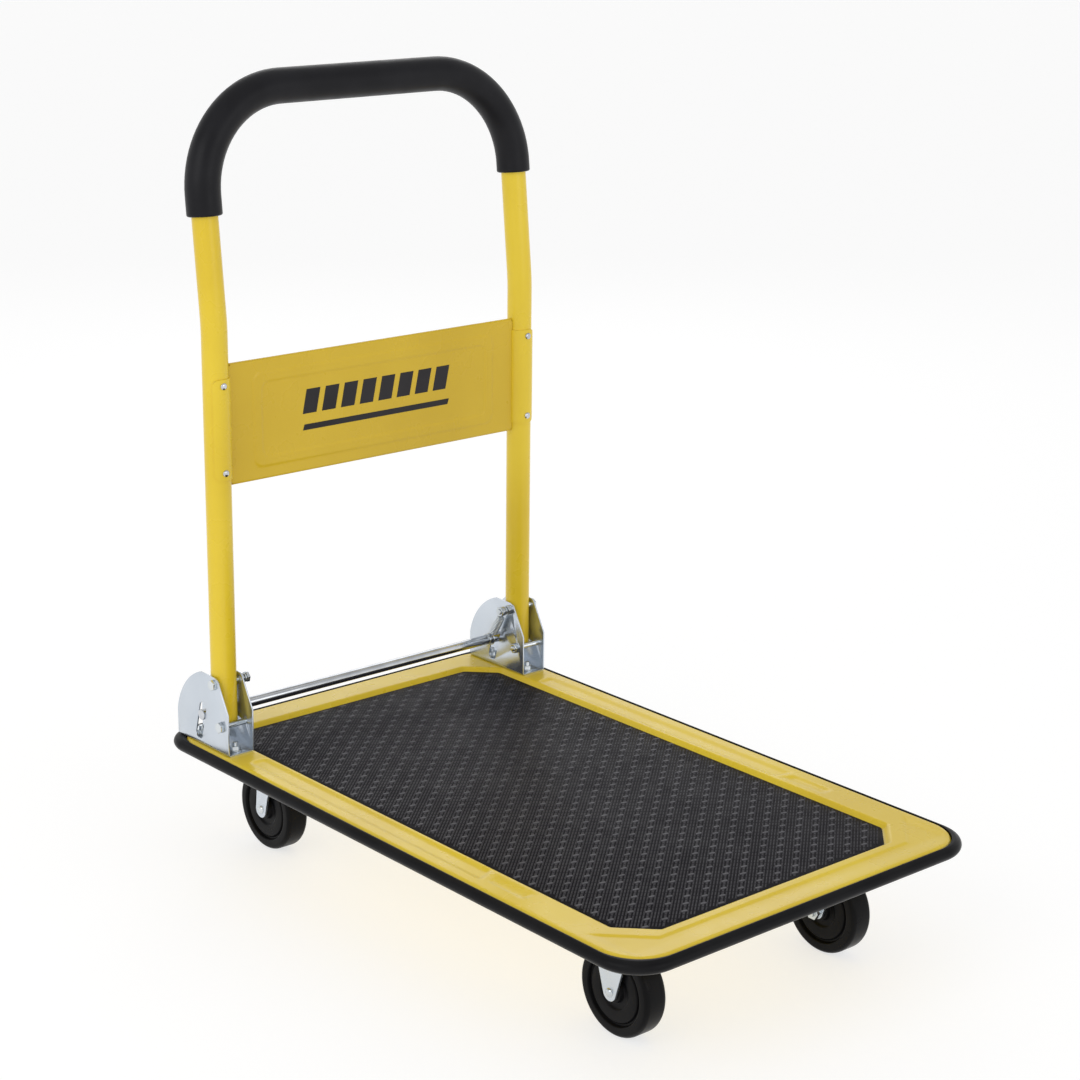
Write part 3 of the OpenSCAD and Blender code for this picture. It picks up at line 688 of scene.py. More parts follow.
def treadTree(name, bar, bars, material):
    tree = bpy.data.node_groups.new(name, "GeometryNodeTree")
    tree.interface.new_socket(name="Geometry", in_out="OUTPUT", socket_type="NodeSocketGeometry")
    for label in ("Across", "Along", "Phase"):
        tree.interface.new_socket(name=label, in_out="INPUT", socket_type="NodeSocketVector")
    addInput(tree, "Bar height", "NodeSocketFloat", 0.0006)
    addInput(tree, "Base height", "NodeSocketFloat", 0.1229)
    addInput(tree, "Half length", "NodeSocketFloat", 0.31)
    addInput(tree, "Half width", "NodeSocketFloat", 0.17)
    addInput(tree, "Corner cut", "NodeSocketFloat", 0.0278)
    nodes, links = tree.nodes, tree.links
    given = nodes.new("NodeGroupInput")
    out = nodes.new("NodeGroupOutput")
    join = nodes.new("GeometryNodeJoinGeometry")
    barInfo = nodes.new("GeometryNodeObjectInfo")
    barInfo.inputs["Object"].default_value = bar
    count = matLook["gridCount"]
    for across, along, length, width, heading in bars:
        # a square grid one unit apart, laid out along the two steps of the weave
        grid = nodes.new("GeometryNodeMeshGrid")
        grid.inputs["Vertices X"].default_value = count
        grid.inputs["Vertices Y"].default_value = count
        grid.inputs["Size X"].default_value = count - 1
        grid.inputs["Size Y"].default_value = count - 1
        unit = nodes.new("GeometryNodeInputPosition")
        steps = nodes.new("ShaderNodeSeparateXYZ")
        links.new(unit.outputs[0], steps.inputs[0])
        stepX = mathNode(tree, "ADD", steps.outputs["X"], across)
        stepY = mathNode(tree, "ADD", steps.outputs["Y"], along)
        spot = summed(tree, scaled(tree, given.outputs["Across"], stepX),
                      scaled(tree, given.outputs["Along"], stepY))
        layOut = nodes.new("GeometryNodeSetPosition")
        links.new(grid.outputs["Mesh"], layOut.inputs["Geometry"])
        links.new(summed(tree, spot, given.outputs["Phase"]), layOut.inputs["Position"])
        # keep only the bars that lie wholly on the mat
        where = nodes.new("GeometryNodeInputPosition")
        parts = nodes.new("ShaderNodeSeparateXYZ")
        links.new(where.outputs[0], parts.inputs[0])
        margin = (length * 0.36 + width * 0.36 + 0.6) * mm
        ax = mathNode(tree, "ABSOLUTE", parts.outputs["X"])
        ay = mathNode(tree, "ABSOLUTE", parts.outputs["Y"])
        okX = mathNode(tree, "LESS_THAN", mathNode(tree, "ADD", ax, margin), given.outputs["Half length"])
        okY = mathNode(tree, "LESS_THAN", mathNode(tree, "ADD", ay, margin), given.outputs["Half width"])
        reach = mathNode(tree, "ADD", given.outputs["Half length"], given.outputs["Half width"])
        reach = mathNode(tree, "SUBTRACT", reach, given.outputs["Corner cut"])
        sumXY = mathNode(tree, "ADD", mathNode(tree, "ADD", ax, ay), margin * 1.5)
        okCorner = mathNode(tree, "LESS_THAN", sumXY, reach)
        keep = mathNode(tree, "MULTIPLY", mathNode(tree, "MULTIPLY", okX, okY), okCorner)
        onPoints = nodes.new("GeometryNodeInstanceOnPoints")
        links.new(layOut.outputs[0], onPoints.inputs["Points"])
        links.new(barInfo.outputs["Geometry"], onPoints.inputs["Instance"])
        links.new(keep, onPoints.inputs["Selection"])
        onPoints.inputs["Rotation"].default_value = (0, 0, heading)
        size = nodes.new("ShaderNodeCombineXYZ")
        size.inputs["X"].default_value = length * mm
        size.inputs["Y"].default_value = width * mm
        links.new(given.outputs["Bar height"], size.inputs["Z"])
        links.new(size.outputs[0], onPoints.inputs["Scale"])
        links.new(onPoints.outputs[0], join.inputs[0])
    lift = nodes.new("GeometryNodeTransform")
    up = nodes.new("ShaderNodeCombineXYZ")
    up.inputs["X"].default_value = (cart["matFront"] + cart["matRear"]) / 2 * mm
    links.new(given.outputs["Base height"], up.inputs["Z"])
    links.new(up.outputs[0], lift.inputs["Translation"])
    links.new(join.outputs[0], lift.inputs["Geometry"])
    realize = nodes.new("GeometryNodeRealizeInstances")
    paint = nodes.new("GeometryNodeSetMaterial")
    paint.inputs["Material"].default_value = material
    links.new(lift.outputs[0], realize.inputs[0])
    links.new(realize.outputs[0], paint.inputs["Geometry"])
    links.new(paint.outputs[0], out.inputs[0])
    return tree


# runs a tree on an empty mesh and keeps the result as a plain mesh
def growPiece(name, tree, values, material, angle=30):
    piece = bpy.data.objects.new(name, bpy.data.meshes.new(name))
    bpy.context.scene.collection.objects.link(piece)
    modifier = piece.modifiers.new("grow", "NODES")
    modifier.node_group = tree
    for label, value in values.items():
        modifier[socketId(tree, label)] = value
    applyModifiers(piece)
    if not piece.data.materials:
        piece.data.materials.append(material)
    shadeSmooth(piece, angle)
    return piece


def makeTread():
    look = matLook
    bar = barMesh()
    flat = {label: [v * mm for v in look[key]] + [0.0]
            for label, key in (("Across", "across"), ("Along", "along"), ("Phase", "phase"))}
    # the dashes take the lighter rubber, which is painted highlight
    for name, bars, material, part in (("matTread", stripeBars(), treadRubber, look["stripeShare"]),
                                       ("matDashes", dashBars(), dashHighlightRubber, look["dashShare"])):
        tree = treadTree(name, bar, bars, material)
        tread = growPiece(name, tree, {
            **flat, "Bar height": look["barHeight"] * part * mm, "Base height": look["baseTop"] * mm,
            "Half length": (cart["matFront"] - cart["matRear"]) / 2 * mm,
            "Half width": cart["matWidth"] / 2 * mm, "Corner cut": cart["matCut"] * mm}, material, 20)
        place(tread, "chassis", "mat_rubber")
    bpy.data.objects.remove(bar)


makeMatBase()
makeTread()
print("mat made")


# lengths along the handle are measured from the middle of its bend
handleLook = {"tubeRadius": 13.0, "wall": 1.5, "bendZ": 562.4, "bendAngle": 5.77, "bendRadius": 220,
              "upperLength": 223, "topRadius": 98, "cutFront": 45.5, "cutRear": 35, "gripRadius": 17.5,
              "gripStart": 110.5, "gripShift": 4.8, "gripEase": (1.9, 0.75, 0.2), "openDepth": 60,
              "sides": 48, "legSteps": 12, "bendSteps": 8, "upperSteps": 4, "topSteps": 24,
              "gripLifts": (0.0, 0.5, 1.1, 2.0, 3.2, 5.0)}


# half of the handle's centre line from its foot, or from a length up the slope, to the middle of the top
def halfPath(fromLength=None):
    look = handleLook
    a = math.radians(look["bendAngle"])
    x0, y0 = cart["legX"], cart["legY"]
    h = look["bendRadius"] * math.tan(a / 2)
    straight = look["upperLength"] - look["topRadius"]

    def upper(s, y):
        return Vector((x0 - s * math.sin(a), y, look["bendZ"] + s * math.cos(a)))

    side = []
    if fromLength is None:
        low = cart["pivotZ"] - (look["cutFront"] + look["cutRear"]) / 2
        for k in range(look["legSteps"] + 1):
            side.append(Vector((x0, y0, low + (look["bendZ"] - h - low) * k / look["legSteps"])))
        for k in range(1, look["bendSteps"] + 1):
            t = a * k / look["bendSteps"]
            side.append(Vector((x0 - look["bendRadius"] * (1 - math.cos(t)), y0,
                                look["bendZ"] - h + look["bendRadius"] * math.sin(t))))
        start = h
    else:
        start = fromLength
        for lift in look["gripLifts"]:
            side.append(upper(start + lift, y0))
        start += look["gripLifts"][-1]
    for k in range(1, look["upperSteps"] + 1):
        side.append(upper(start + (straight - start) * k / look["upperSteps"], y0))
    for k in range(1, look["topSteps"] + 1):
        t = math.pi / 2 * k / look["topSteps"]
        side.append(upper(straight + look["topRadius"] * math.sin(t),
                          y0 - look["topRadius"] * (1 - math.cos(t))))
    return side


def wholePath(leftStart=None, rightStart=None):
    return halfPath(leftStart) + [Vector((p.x, -p.y, p.z)) for p in reversed(halfPath(rightStart))]


def makeHandle():
    look = handleLook
    path = wholePath()
    outer = sweepRings(path, [look["tubeRadius"]] * len(path), look["sides"])
    slope = (look["cutFront"] - look["cutRear"]) / (2 * look["tubeRadius"])

    def slanted(ring):
        return [Vector((p.x, p.y, p.z - (p.x - cart["legX"]) * slope)) for p in ring]

    outer[0] = slanted(outer[0])
    outer[-1] = slanted(outer[-1])

    def shrunk(ring, z):
        out = []
        centre = sum(ring, Vector()) / len(ring)
        for p in ring:
            d = Vector((p.x - centre.x, p.y - centre.y, 0)).normalized() * look["wall"]
            out.append(Vector((p.x - d.x, p.y - d.y, p.z + z)))
        return out

    # the wall shows at both open feet
    deep = look["openDepth"]
    rings = [shrunk(outer[0], deep), shrunk(outer[0], 0)] + outer
    rings += [shrunk(outer[-1], 0), shrunk(outer[-1], deep)]
    verts, faces = skinRings(rings, True, False, True, True)
    tube = newPiece("handleTube", verts, faces, deckPaint, 40)
    cleanNormals(tube)
    shadeSmooth(tube, 40)
    place(tube, "handle", "yellow_paint", "handle_tube")

    gripPath = wholePath(look["gripStart"] + look["gripShift"], look["gripStart"] - look["gripShift"])
    full = look["gripRadius"]
    radii = [full] * len(gripPath)
    for k, less in enumerate(look["gripEase"]):
        radii[k] = full - less
        radii[-1 - k] = full - less
    rings = sweepRings(gripPath, radii, look["sides"])
    snug = sweepRings(gripPath, [look["tubeRadius"] + 0.1] * len(gripPath), look["sides"])
    mouths = [[a * 0.35 + b * 0.65 for a, b in zip(snug[k], rings[k])] for k in (0, -1)]
    rings = [snug[0], mouths[0]] + rings + [mouths[1], snug[-1]]
    verts, faces = skinRings(rings, True, False)
    grip = newPiece("handGrip", verts, faces, gripFoam, 60)
    cleanNormals(grip)
    place(grip, "handle", "grip_foam", "grip")


makeHandle()
print("handle made")


# the back panel: sheet with a raised frame, rolled edges, ears round the legs and plain bars
panelLook = {"bottom": 400.5, "top": 523.5, "front": 4.0, "sheet": 1.2, "hem": 2.5, "hemInside": 1.35,
             "frameOuter": (306, 96, 10), "frameInner": (286, 76, 8), "frameRise": 0.8, "slope": 3.0,
             "fineY": (136, 160), "fineZ": (34, 52),
             "hemTurn": 330, "hemSteps": 28, "hemShort": 1.5,
             "earBottom": 409.5, "earTop": 511.0, "earWrap": 48, "earCorner": 7.0,
             "markWidth": 17.0, "markCount": 8, "markHeight": 25.0, "markLean": 5.4,
             "markStart": -94, "markLength": 190.0, "markBase": 460.0, "stripeBase": 443.0,
             "stripeHeight": 6.0, "stripeLean": 2.0, "stripeLength": 186.0,
             "markInset": 0.02, "markThick": 0.1}


def roundedDistance(y, z, w, h, r):
    dx, dz = abs(y) - (w / 2 - r), abs(z) - (h / 2 - r)
    return math.hypot(max(dx, 0), max(dz, 0)) + min(max(dx, dz), 0) - r


def makePanel():
    look = panelLook
    x1 = cart["legX"] + look["front"]
    yi = cart["legY"] - handleLook["tubeRadius"] - 0.1
    mid = (look["bottom"] + look["top"]) / 2
    nearY, farY = look["fineY"]
    nearZ, farZ = look["fineZ"]
    ys = gridLines(-yi, yi, [(-farY, -nearY), (nearY, farY)], 1.0, 6.0)
    zs = gridLines(look["bottom"] + look["hem"], look["top"] - look["hem"],
                   [(mid - farZ, mid - nearZ), (mid + nearZ, mid + farZ)], 1.0, 5.0)

    def face(y, z):
        s = look["slope"] / 2
        outer = 1 - smoothStep(-s, s, roundedDistance(y, z - mid, *look["frameOuter"]))
        inner = 1 - smoothStep(-s, s, roundedDistance(y, z - mid, *look["frameInner"]))
        return x1 + look["frameRise"] * (outer - inner)

    verts, faces = [], []
    for z in zs:
        for y in ys:
            verts.append((face(y, z), y, z))
    n = len(ys)
    for j in range(len(zs) - 1):
        for i in range(n - 1):
            a = j * n + i
            faces.append((a, a + 1, a + n + 1, a + n))
    sheet = newPiece("panelSheet", verts, faces, shadedPanelPaint, 60)
    if sheet.data.polygons[0].normal.x < 0:
        sheet.data.flip_normals()
    wall = sheet.modifiers.new("sheet", "SOLIDIFY")
    wall.thickness = look["sheet"] * mm
    wall.offset = -1
    applyModifiers(sheet)
    shadeSmooth(sheet, 50)

    # rolled edges, open at both ends so the curl shows
    parts = [sheet]
    for z in (look["bottom"] + look["hem"], look["top"] - look["hem"]):
        section = []
        turn = 1 if z > mid else -1
        steps = look["hemSteps"]
        for k in range(steps + 1):
            t = math.radians(look["hemTurn"] * k / steps)
            section.append((look["hem"] * math.cos(t), look["hem"] * math.sin(t) * turn))
        for k in range(steps + 1):
            t = math.radians(look["hemTurn"] * (1 - k / steps))
            section.append((look["hemInside"] * math.cos(t), look["hemInside"] * math.sin(t) * turn))
        rings = [[Vector((x1 - look["hem"] + px, y, z + pz)) for px, pz in section]
                 for y in (-yi + look["hemShort"], yi - look["hemShort"])]
        v, f = skinRings(rings, True, False, False, False)
        last = len(section)
        for r in (0, last):
            for k in range(steps):
                quad = (r + k, r + k + 1, r + last - 2 - k, r + last - 1 - k)
                f.append(quad if r else tuple(reversed(quad)))
        hem = newPiece("panelHem", v, f, shadedPanelPaint, 40)
        cleanNormals(hem)
        shadeSmooth(hem, 40)
        parts.append(hem)

    # ears that wrap the legs from the inside over the front
    for side in (1, -1):
        r0 = handleLook["tubeRadius"] + 0.12
        rows, cols = 30, 40
        grid = []
        for j in range(rows + 1):
            v = j / rows
            line = []
            for i in range(cols + 1):
                u = i / cols
                angle = -90 + (90 + look["earWrap"]) * u
                corner = look["earCorner"]
                arc = math.radians(90 + look["earWrap"]) * r0
                height = look["earTop"] - look["earBottom"]
                px, pz = u * arc, v * height
                outX = px - (arc - corner)
                for edgeZ, sign in ((0.0, 1), (height, -1)):
                    near = (pz - edgeZ) * sign
                    if outX > 0 and near < corner:
                        inset = corner - math.sqrt(max(0.0, corner ** 2 - outX ** 2))
                        pz = edgeZ + sign * max(near, inset)
                t = math.radians(angle)
                line.append(Vector((cart["legX"] + r0 * math.cos(t),
                                    side * (cart["legY"] + r0 * math.sin(t)), look["earBottom"] + pz)))
            grid.append(line)
        v, f = skinRings(grid, False, False)
        ear = newPiece("panelEar", v, f, deckPaint, 60)
        cleanNormals(ear, 0.000005)
        picked = min(ear.data.polygons, key=lambda p: abs(p.center.y - side * cart["legY"] * mm)
                     + abs(p.center.z - mid * mm))
        if picked.normal.x < 0:
            ear.data.flip_normals()
        wall = ear.modifiers.new("sheet", "SOLIDIFY")
        wall.thickness = look["sheet"] * mm
        wall.offset = 1
        applyModifiers(ear)
        shadeSmooth(ear, 45)
        # the ears keep the deck's yellow; the sheet, hems and webs carry the panel's painted shade
        for polygon in ear.data.polygons:
            polygon.material_index = 1
        parts.append(ear)
        # short web from the ear to the sheet
        t = look["sheet"]
        x0 = cart["legX"] - 0.5
        y1, y2 = side * (yi - t), side * yi
        v = [(x, y, z) for z in (look["earBottom"], look["earTop"]) for y in (y1, y2)
             for x in (x0, x1 - 0.02)]
        f = [(0, 1, 3, 2), (4, 6, 7, 5), (0, 4, 5, 1), (1, 5, 7, 3), (3, 7, 6, 2), (2, 6, 4, 0)]
        piece = newPiece("panelWeb", v, f, shadedPanelPaint, 30)
        cleanNormals(piece)
        parts.append(piece)

    panel = joinPieces("backPanel", parts, 45, shadedPanelPaint, deckPaint)
    place(panel, "handle", "yellow_paint", "back_panel")

    # plain leaning bars over a thin stripe
    verts, faces = [], []

    def flatBar(corners):
        start = len(verts)
        for x in (x1 + look["markInset"], x1 + look["markInset"] + look["markThick"]):
            verts.extend((x, y, z) for y, z in corners)
        faces.append((start + 4, start + 5, start + 6, start + 7))
        faces.append((start + 3, start + 2, start + 1, start))
        for k in range(4):
            m = (k + 1) % 4
            faces.append((start + k, start + m, start + 4 + m, start + 4 + k))

    def leaningBar(y, z, width, height, lean):
        flatBar([(y, z), (y + width, z), (y + width + lean, z + height), (y + lean, z + height)])

    for k in range(look["markCount"]):
        y = look["markStart"] + k * look["markLength"] / look["markCount"]
        leaningBar(y, look["markBase"], look["markWidth"], look["markHeight"], look["markLean"])
    leaningBar(look["markStart"], look["stripeBase"], look["stripeLength"], look["stripeHeight"],
               look["stripeLean"])
    mark = newPiece("panelStripes", verts, faces, markInk, 30)
    cleanNormals(mark)
    place(mark, "handle", "yellow_paint")


makePanel()
print("panel made")


# template solids one unit across, turned about +Z
def domeTemplate():
    profile = [(0.0, 0.42), (0.18, 0.41), (0.34, 0.35), (0.45, 0.25), (0.5, 0.12), (0.5, 0.0)]
    steps = 24
    verts = [(0, 0, profile[0][1])]
    for r, z in profile[1:]:
        verts += [(r * math.cos(2 * math.pi * k / steps), r * math.sin(2 * math.pi * k / steps), z)
                  for k in range(steps)]
    faces = [(0, 1 + k, 1 + (k + 1) % steps) for k in range(steps)]
    for ring in range(len(profile) - 2):
        a = 1 + ring * steps
        for k in range(steps):
            faces.append((a + k, a + steps + k, a + steps + (k + 1) % steps, a + (k + 1) % steps))
    base = 1 + (len(profile) - 2) * steps
    faces.append(tuple(reversed(range(base, base + steps))))
    mesh = bpy.data.meshes.new("rivetHead")
    mesh.from_pydata(verts, [], faces)
    return bpy.data.objects.new("rivetHead", mesh)


# hexagon with turned-off corners at both ends, one unit across flats and one unit high
def hexTemplate(bore):
    steps = 48
    rings = []
    for z, turned in ((0.0, True), (0.14, False), (0.86, False), (1.0, True)):
        ring = []
        for k in range(steps):
            t = 2 * math.pi * k / steps
            local = (t % (math.pi / 3)) - math.pi / 6
            flat = 0.5 / math.cos(local)
            r = min(flat, 0.5) if turned else flat
            ring.append(Vector((r * math.cos(t), r * math.sin(t), z)))
        rings.append(ring)
    if bore > 0:
        turns = [2 * math.pi * k / steps for k in range(steps)]
        inner = [[Vector((bore * math.cos(t), bore * math.sin(t), z)) for t in turns] for z in (1.0, 0.0)]
        verts, faces = skinRings(rings + inner, True, True)
    else:
        verts, faces = skinRings(rings, True, False, True, True)
    mesh = bpy.data.meshes.new("hexTemplate")
    mesh.from_pydata(verts, [], faces)
    work = bmesh.new()
    work.from_mesh(mesh)
    bmesh.ops.recalc_face_normals(work, faces=work.faces)
    work.to_mesh(mesh)
    work.free()
    return bpy.data.objects.new("hexTemplate", mesh)


# copies of one template on a list of places
def scatterTree(name, template, material):
    tree = bpy.data.node_groups.new(name, "GeometryNodeTree")
    tree.interface.new_socket(name="Geometry", in_out="OUTPUT", socket_type="NodeSocketGeometry")
    tree.interface.new_socket(name="Places", in_out="INPUT", socket_type="NodeSocketGeometry")
    addInput(tree, "Width", "NodeSocketFloat", 0.01)
    addInput(tree, "Height", "NodeSocketFloat", 0.005)
    tree.interface.new_socket(name="Turn", in_out="INPUT", socket_type="NodeSocketVector")
    addInput(tree, "Seed", "NodeSocketInt", 7)
    addInput(tree, "Spread", "NodeSocketFloat", 0.0)
    nodes, links = tree.nodes, tree.links
    given = nodes.new("NodeGroupInput")
    out = nodes.new("NodeGroupOutput")
    info = nodes.new("GeometryNodeObjectInfo")
    info.inputs["Object"].default_value = template
    spin = nodes.new("FunctionNodeRandomValue")
    links.new(given.outputs["Seed"], spin.inputs["Seed"])
    roll = nodes.new("ShaderNodeCombineXYZ")
    links.new(mathNode(tree, "MULTIPLY", spin.outputs[1], given.outputs["Spread"]), roll.inputs["Z"])
    rolled = nodes.new("GeometryNodeRotateInstances")
    links.new(roll.outputs[0], rolled.inputs["Rotation"])
    size = nodes.new("ShaderNodeCombineXYZ")
    links.new(given.outputs["Width"], size.inputs["X"])
    links.new(given.outputs["Width"], size.inputs["Y"])
    links.new(given.outputs["Height"], size.inputs["Z"])
    onPoints = nodes.new("GeometryNodeInstanceOnPoints")
    links.new(given.outputs["Places"], onPoints.inputs["Points"])
    links.new(info.outputs["Geometry"], onPoints.inputs["Instance"])
    links.new(given.outputs["Turn"], onPoints.inputs["Rotation"])
    links.new(size.outputs[0], onPoints.inputs["Scale"])
    links.new(onPoints.outputs[0], rolled.inputs["Instances"])
    realize = nodes.new("GeometryNodeRealizeInstances")
    paint = nodes.new("GeometryNodeSetMaterial")
    paint.inputs["Material"].default_value = material
    links.new(rolled.outputs[0], realize.inputs[0])
    links.new(realize.outputs[0], paint.inputs["Geometry"])
    links.new(paint.outputs[0], out.inputs[0])
    return tree


def scatter(name, template, places, width, height, turn, material, spread=0.0, angle=28):
    tree = scatterTree(name, template, material)
    mesh = bpy.data.meshes.new(name)
    mesh.from_pydata([Vector(p) * mm for p in places], [], [])
    piece = bpy.data.objects.new(name, mesh)
    bpy.context.scene.collection.objects.link(piece)
    modifier = piece.modifiers.new("scatter", "NODES")
    modifier.node_group = tree
    modifier[socketId(tree, "Width")] = width * mm
    modifier[socketId(tree, "Height")] = height * mm
    modifier[socketId(tree, "Turn")] = turn
    modifier[socketId(tree, "Spread")] = spread
    applyModifiers(piece)
    if not piece.data.materials:
        piece.data.materials.append(material)
    shadeSmooth(piece, angle)
    return piece


fastenerLook = {"boltAcross": 13, "boltHead": 5.3, "boltRadius": 4.0, "boltEnd": 8.5, "nutHeight": 6.5,
                "nutBore": 0.31, "fullTurn": 6.28, "plateHoles": (31, 25), "plateTop": 107,
                "sheet": 2.5, "railSheet": 2.0, "ballCount": 19, "ballRing": 17, "ballRadius": 2.65,
                "ballHeight": 98, "rivetHeights": (417.1, 504.4), "rivetWidth": 7.0}


def rodBetween(a, b, radius, material, sides=32, ease=0.4):
    ahead = (b - a).normalized()
    path = [a, a + ahead * ease, b - ahead * ease, b]
    radii = [radius - ease, radius, radius, radius - ease]
    first = Vector((1, 0, 0)) if abs(ahead.x) < 0.9 else Vector((0, 1, 0))
    verts, faces = skinRings(sweepRings(path, radii, sides, first), True, False, True, True)
    piece = newPiece("rodPart", verts, faces, material, 30)
    cleanNormals(piece)
    return piece


def makeFasteners():
    look = fastenerLook
    dx, dy = look["plateHoles"]
    holes = [(x + sx * dx, sy * cart["casterY"] + ty * dy) for x in (cart["swivelX"], cart["frontAxle"])
             for sy in (-1, 1) for sx in (-1, 1) for ty in (-1, 1)]
    solidHex = hexTemplate(0.0)
    boredHex = hexTemplate(look["nutBore"])
    headZ = look["plateTop"] + look["railSheet"]
    heads = scatter("plateHeads", solidHex, [(x, y, headZ) for x, y in holes], look["boltAcross"],
                    look["boltHead"], (0, 0, 0), boltZinc, look["fullTurn"])
    endZ = look["plateTop"] - look["sheet"] - look["boltEnd"]
    shanks = [rodBetween(Vector((x, y, headZ + 1)), Vector((x, y, endZ)), look["boltRadius"], boltZinc, 20)
              for x, y in holes]
    bolts = joinPieces("casterBolts", [heads] + shanks, 28, boltZinc)
    place(bolts, "chassis", "zinc", "caster_bolts")
    nutZ = look["plateTop"] - look["sheet"] - look["nutHeight"]
    nuts = scatter("casterNuts", boredHex, [(x, y, nutZ) for x, y in holes], look["boltAcross"],
                   look["nutHeight"], (0, 0, 0), boltZinc, look["fullTurn"])
    place(nuts, "chassis", "zinc", "caster_nuts")

    # balls between the swivel plates
    ballMesh = bpy.data.meshes.new("ball")
    work = bmesh.new()
    bmesh.ops.create_icosphere(work, subdivisions=2, radius=0.5)
    work.to_mesh(ballMesh)
    work.free()
    ball = bpy.data.objects.new("ball", ballMesh)
    places = []
    for sy in (-1, 1):
        for k in range(look["ballCount"]):
            t = 2 * math.pi * k / look["ballCount"]
            places.append((cart["swivelX"] + look["ballRing"] * math.cos(t),
                           sy * cart["casterY"] + look["ballRing"] * math.sin(t), look["ballHeight"]))
    balls = scatter("swivelBalls", ball, places, 2 * look["ballRadius"], 2 * look["ballRadius"], (0, 0, 0),
                    brightChrome, 0.0, 60)
    place(balls, "chassis", "chrome", "ball_rings")

    # rivets on the front of both legs
    dome = domeTemplate()
    front = cart["legX"] + handleLook["tubeRadius"] + panelLook["sheet"] + 0.1
    places = [(front, sy * cart["legY"], z) for sy in (-1, 1) for z in look["rivetHeights"]]
    rivets = scatter("panelRivets", dome, places, look["rivetWidth"], look["rivetWidth"] * 0.6,
                     (0, math.pi / 2, 0), brightChrome, 0.0, 50)
    place(rivets, "handle", "chrome", "panel_rivets")
    for template in (solidHex, boredHex, ball, dome):
        bpy.data.objects.remove(template)


makeFasteners()
print("repeated fasteners made")


# radius of the fold along each bracket's foot
bracketBend = 2.2

for node, name, body, finish, material, ease in (
    ("bracket_left", "bracketLeft", "chassis", "zinc", zincPlate, 0.5),
    ("bracket_right", "bracketRight", "chassis", "zinc", zincPlate, 0.5),
    ("bracket_bolts", "bracketBolts", "chassis", "zinc", boltZinc, 0.4),
    ("bracket_nuts", "bracketNuts", "chassis", "zinc", boltZinc, 0.4),
    ("pivot_bolts", "pivotBolts", "chassis", "zinc", boltZinc, 0.6),
    ("pivot_nuts", "pivotNuts", "chassis", "zinc", boltZinc, 0.5),
    ("stop_bolts", "stopBolts", "chassis", "zinc", boltZinc, 0.6),
    ("stop_nuts", "stopNuts", "chassis", "zinc", boltZinc, 0.5),
    ("lock_rod", "lockRod", "lock", "chrome", brightChrome, 0.5),
    ("rod_rings", "rodRings", "lock", "zinc", boltZinc, 0.3),
    ("fork_front_left", "forkFrontLeft", "chassis", "zinc", zincPlate, 0.5),
    ("fork_front_right", "forkFrontRight", "chassis", "zinc", zincPlate, 0.5),
    ("axles_front", "axlesFront", "chassis", "zinc", boltZinc, 0.3),
    ("axle_nuts_front", "axleNutsFront", "chassis", "zinc", boltZinc, 0.5),
    ("plate_rear_left", "swivelPlateLeft", "chassis", "zinc", zincPlate, 0.5),
    ("plate_rear_right", "swivelPlateRight", "chassis", "zinc", zincPlate, 0.5),
    ("king_pins", "kingPins", "chassis", "zinc", boltZinc, 0.5),
    ("fork_rear_left", "forkRearLeft", "swivel_left", "zinc", zincPlate, 0.5),
    ("fork_rear_right", "forkRearRight", "swivel_right", "zinc", zincPlate, 0.5),
    ("axle_rear_left", "axleRearLeft", "swivel_left", "zinc", boltZinc, 0.3),
    ("axle_rear_right", "axleRearRight", "swivel_right", "zinc", boltZinc, 0.3),
    ("axle_nut_rear_left", "axleNutRearLeft", "swivel_left", "zinc", boltZinc, 0.5),
    ("axle_nut_rear_right", "axleNutRearRight", "swivel_right", "zinc", boltZinc, 0.5),
):
    bend = (cart["rimTop"], bracketBend) if node in ("bracket_left", "bracket_right") else None
    easedCopy(node, name, body, finish, material, ease, bend=bend)
print("metal parts made")


# hookClear is where the coil starts below the bolt, and the insets are from each leg's bracket
springLook = {"wire": 0.85, "coil": 3.7, "pitch": 2.0, "hookClear": 9.2, "insetLeft": 7.2, "insetRight": 5.5,
              "loopRadius": 4.0, "rodLoop": 6.4, "legGap": 15.5, "loopTurn": 320, "loopSteps": 21,
              "coilSteps": 14, "coilEase": 10, "rodClear": 1.8}


def makeSpring(side, node):
    look = springLook
    inset = look["insetLeft"] if side > 0 else look["insetRight"]
    y = (cart["legY"] - look["legGap"] - inset) * side
    top = Vector((cart["pivotX"], y, cart["pivotZ"]))
    low = Vector((cart["rodX"], y, cart["rodZ"]))
    axis = (low - top).normalized()
    cross = Vector((0, 1, 0)).cross(axis).normalized()
    length = (low - top).length
    start, end = look["hookClear"], length - look["rodLoop"] - look["rodClear"]

    def loop(centre, radius, first):
        turn = [math.radians(first + look["loopTurn"] * k / look["loopSteps"])
                for k in range(look["loopSteps"] + 1)]
        return [centre - axis * radius * math.cos(t) + cross * radius * math.sin(t) for t in turn]

    # loop round the bolt, then the coil, then the loop round the rod
    points = loop(top, look["loopRadius"], -look["loopTurn"] / 2)
    turns = (end - start) / look["pitch"]
    steps = int(turns * look["coilSteps"])
    for k in range(steps + 1):
        t = 2 * math.pi * turns * k / steps
        r = look["coil"] * min(1.0, k / look["coilEase"], (steps - k) / look["coilEase"])
        along = start + (end - start) * k / steps
        points.append(top + axis * along + cross * (r * math.cos(t)) + Vector((0, r * math.sin(t), 0)))
    points += loop(low, look["rodLoop"], 180 - look["loopTurn"] / 2)
    rings = sweepRings(points, [look["wire"]] * len(points), 8, Vector((0, 1, 0)))
    verts, faces = skinRings(rings, True, False, True, True)
    spring = newPiece("lockSpring" + ("Left" if side > 0 else "Right"), verts, faces, boltZinc, 60)
    cleanNormals(spring, 0.000002)
    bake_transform(spring)
    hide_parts(node)


makeSpring(1, "spring_left")
makeSpring(-1, "spring_right")
print("springs made")


wheelLook = {"width": 25, "steps": 112}


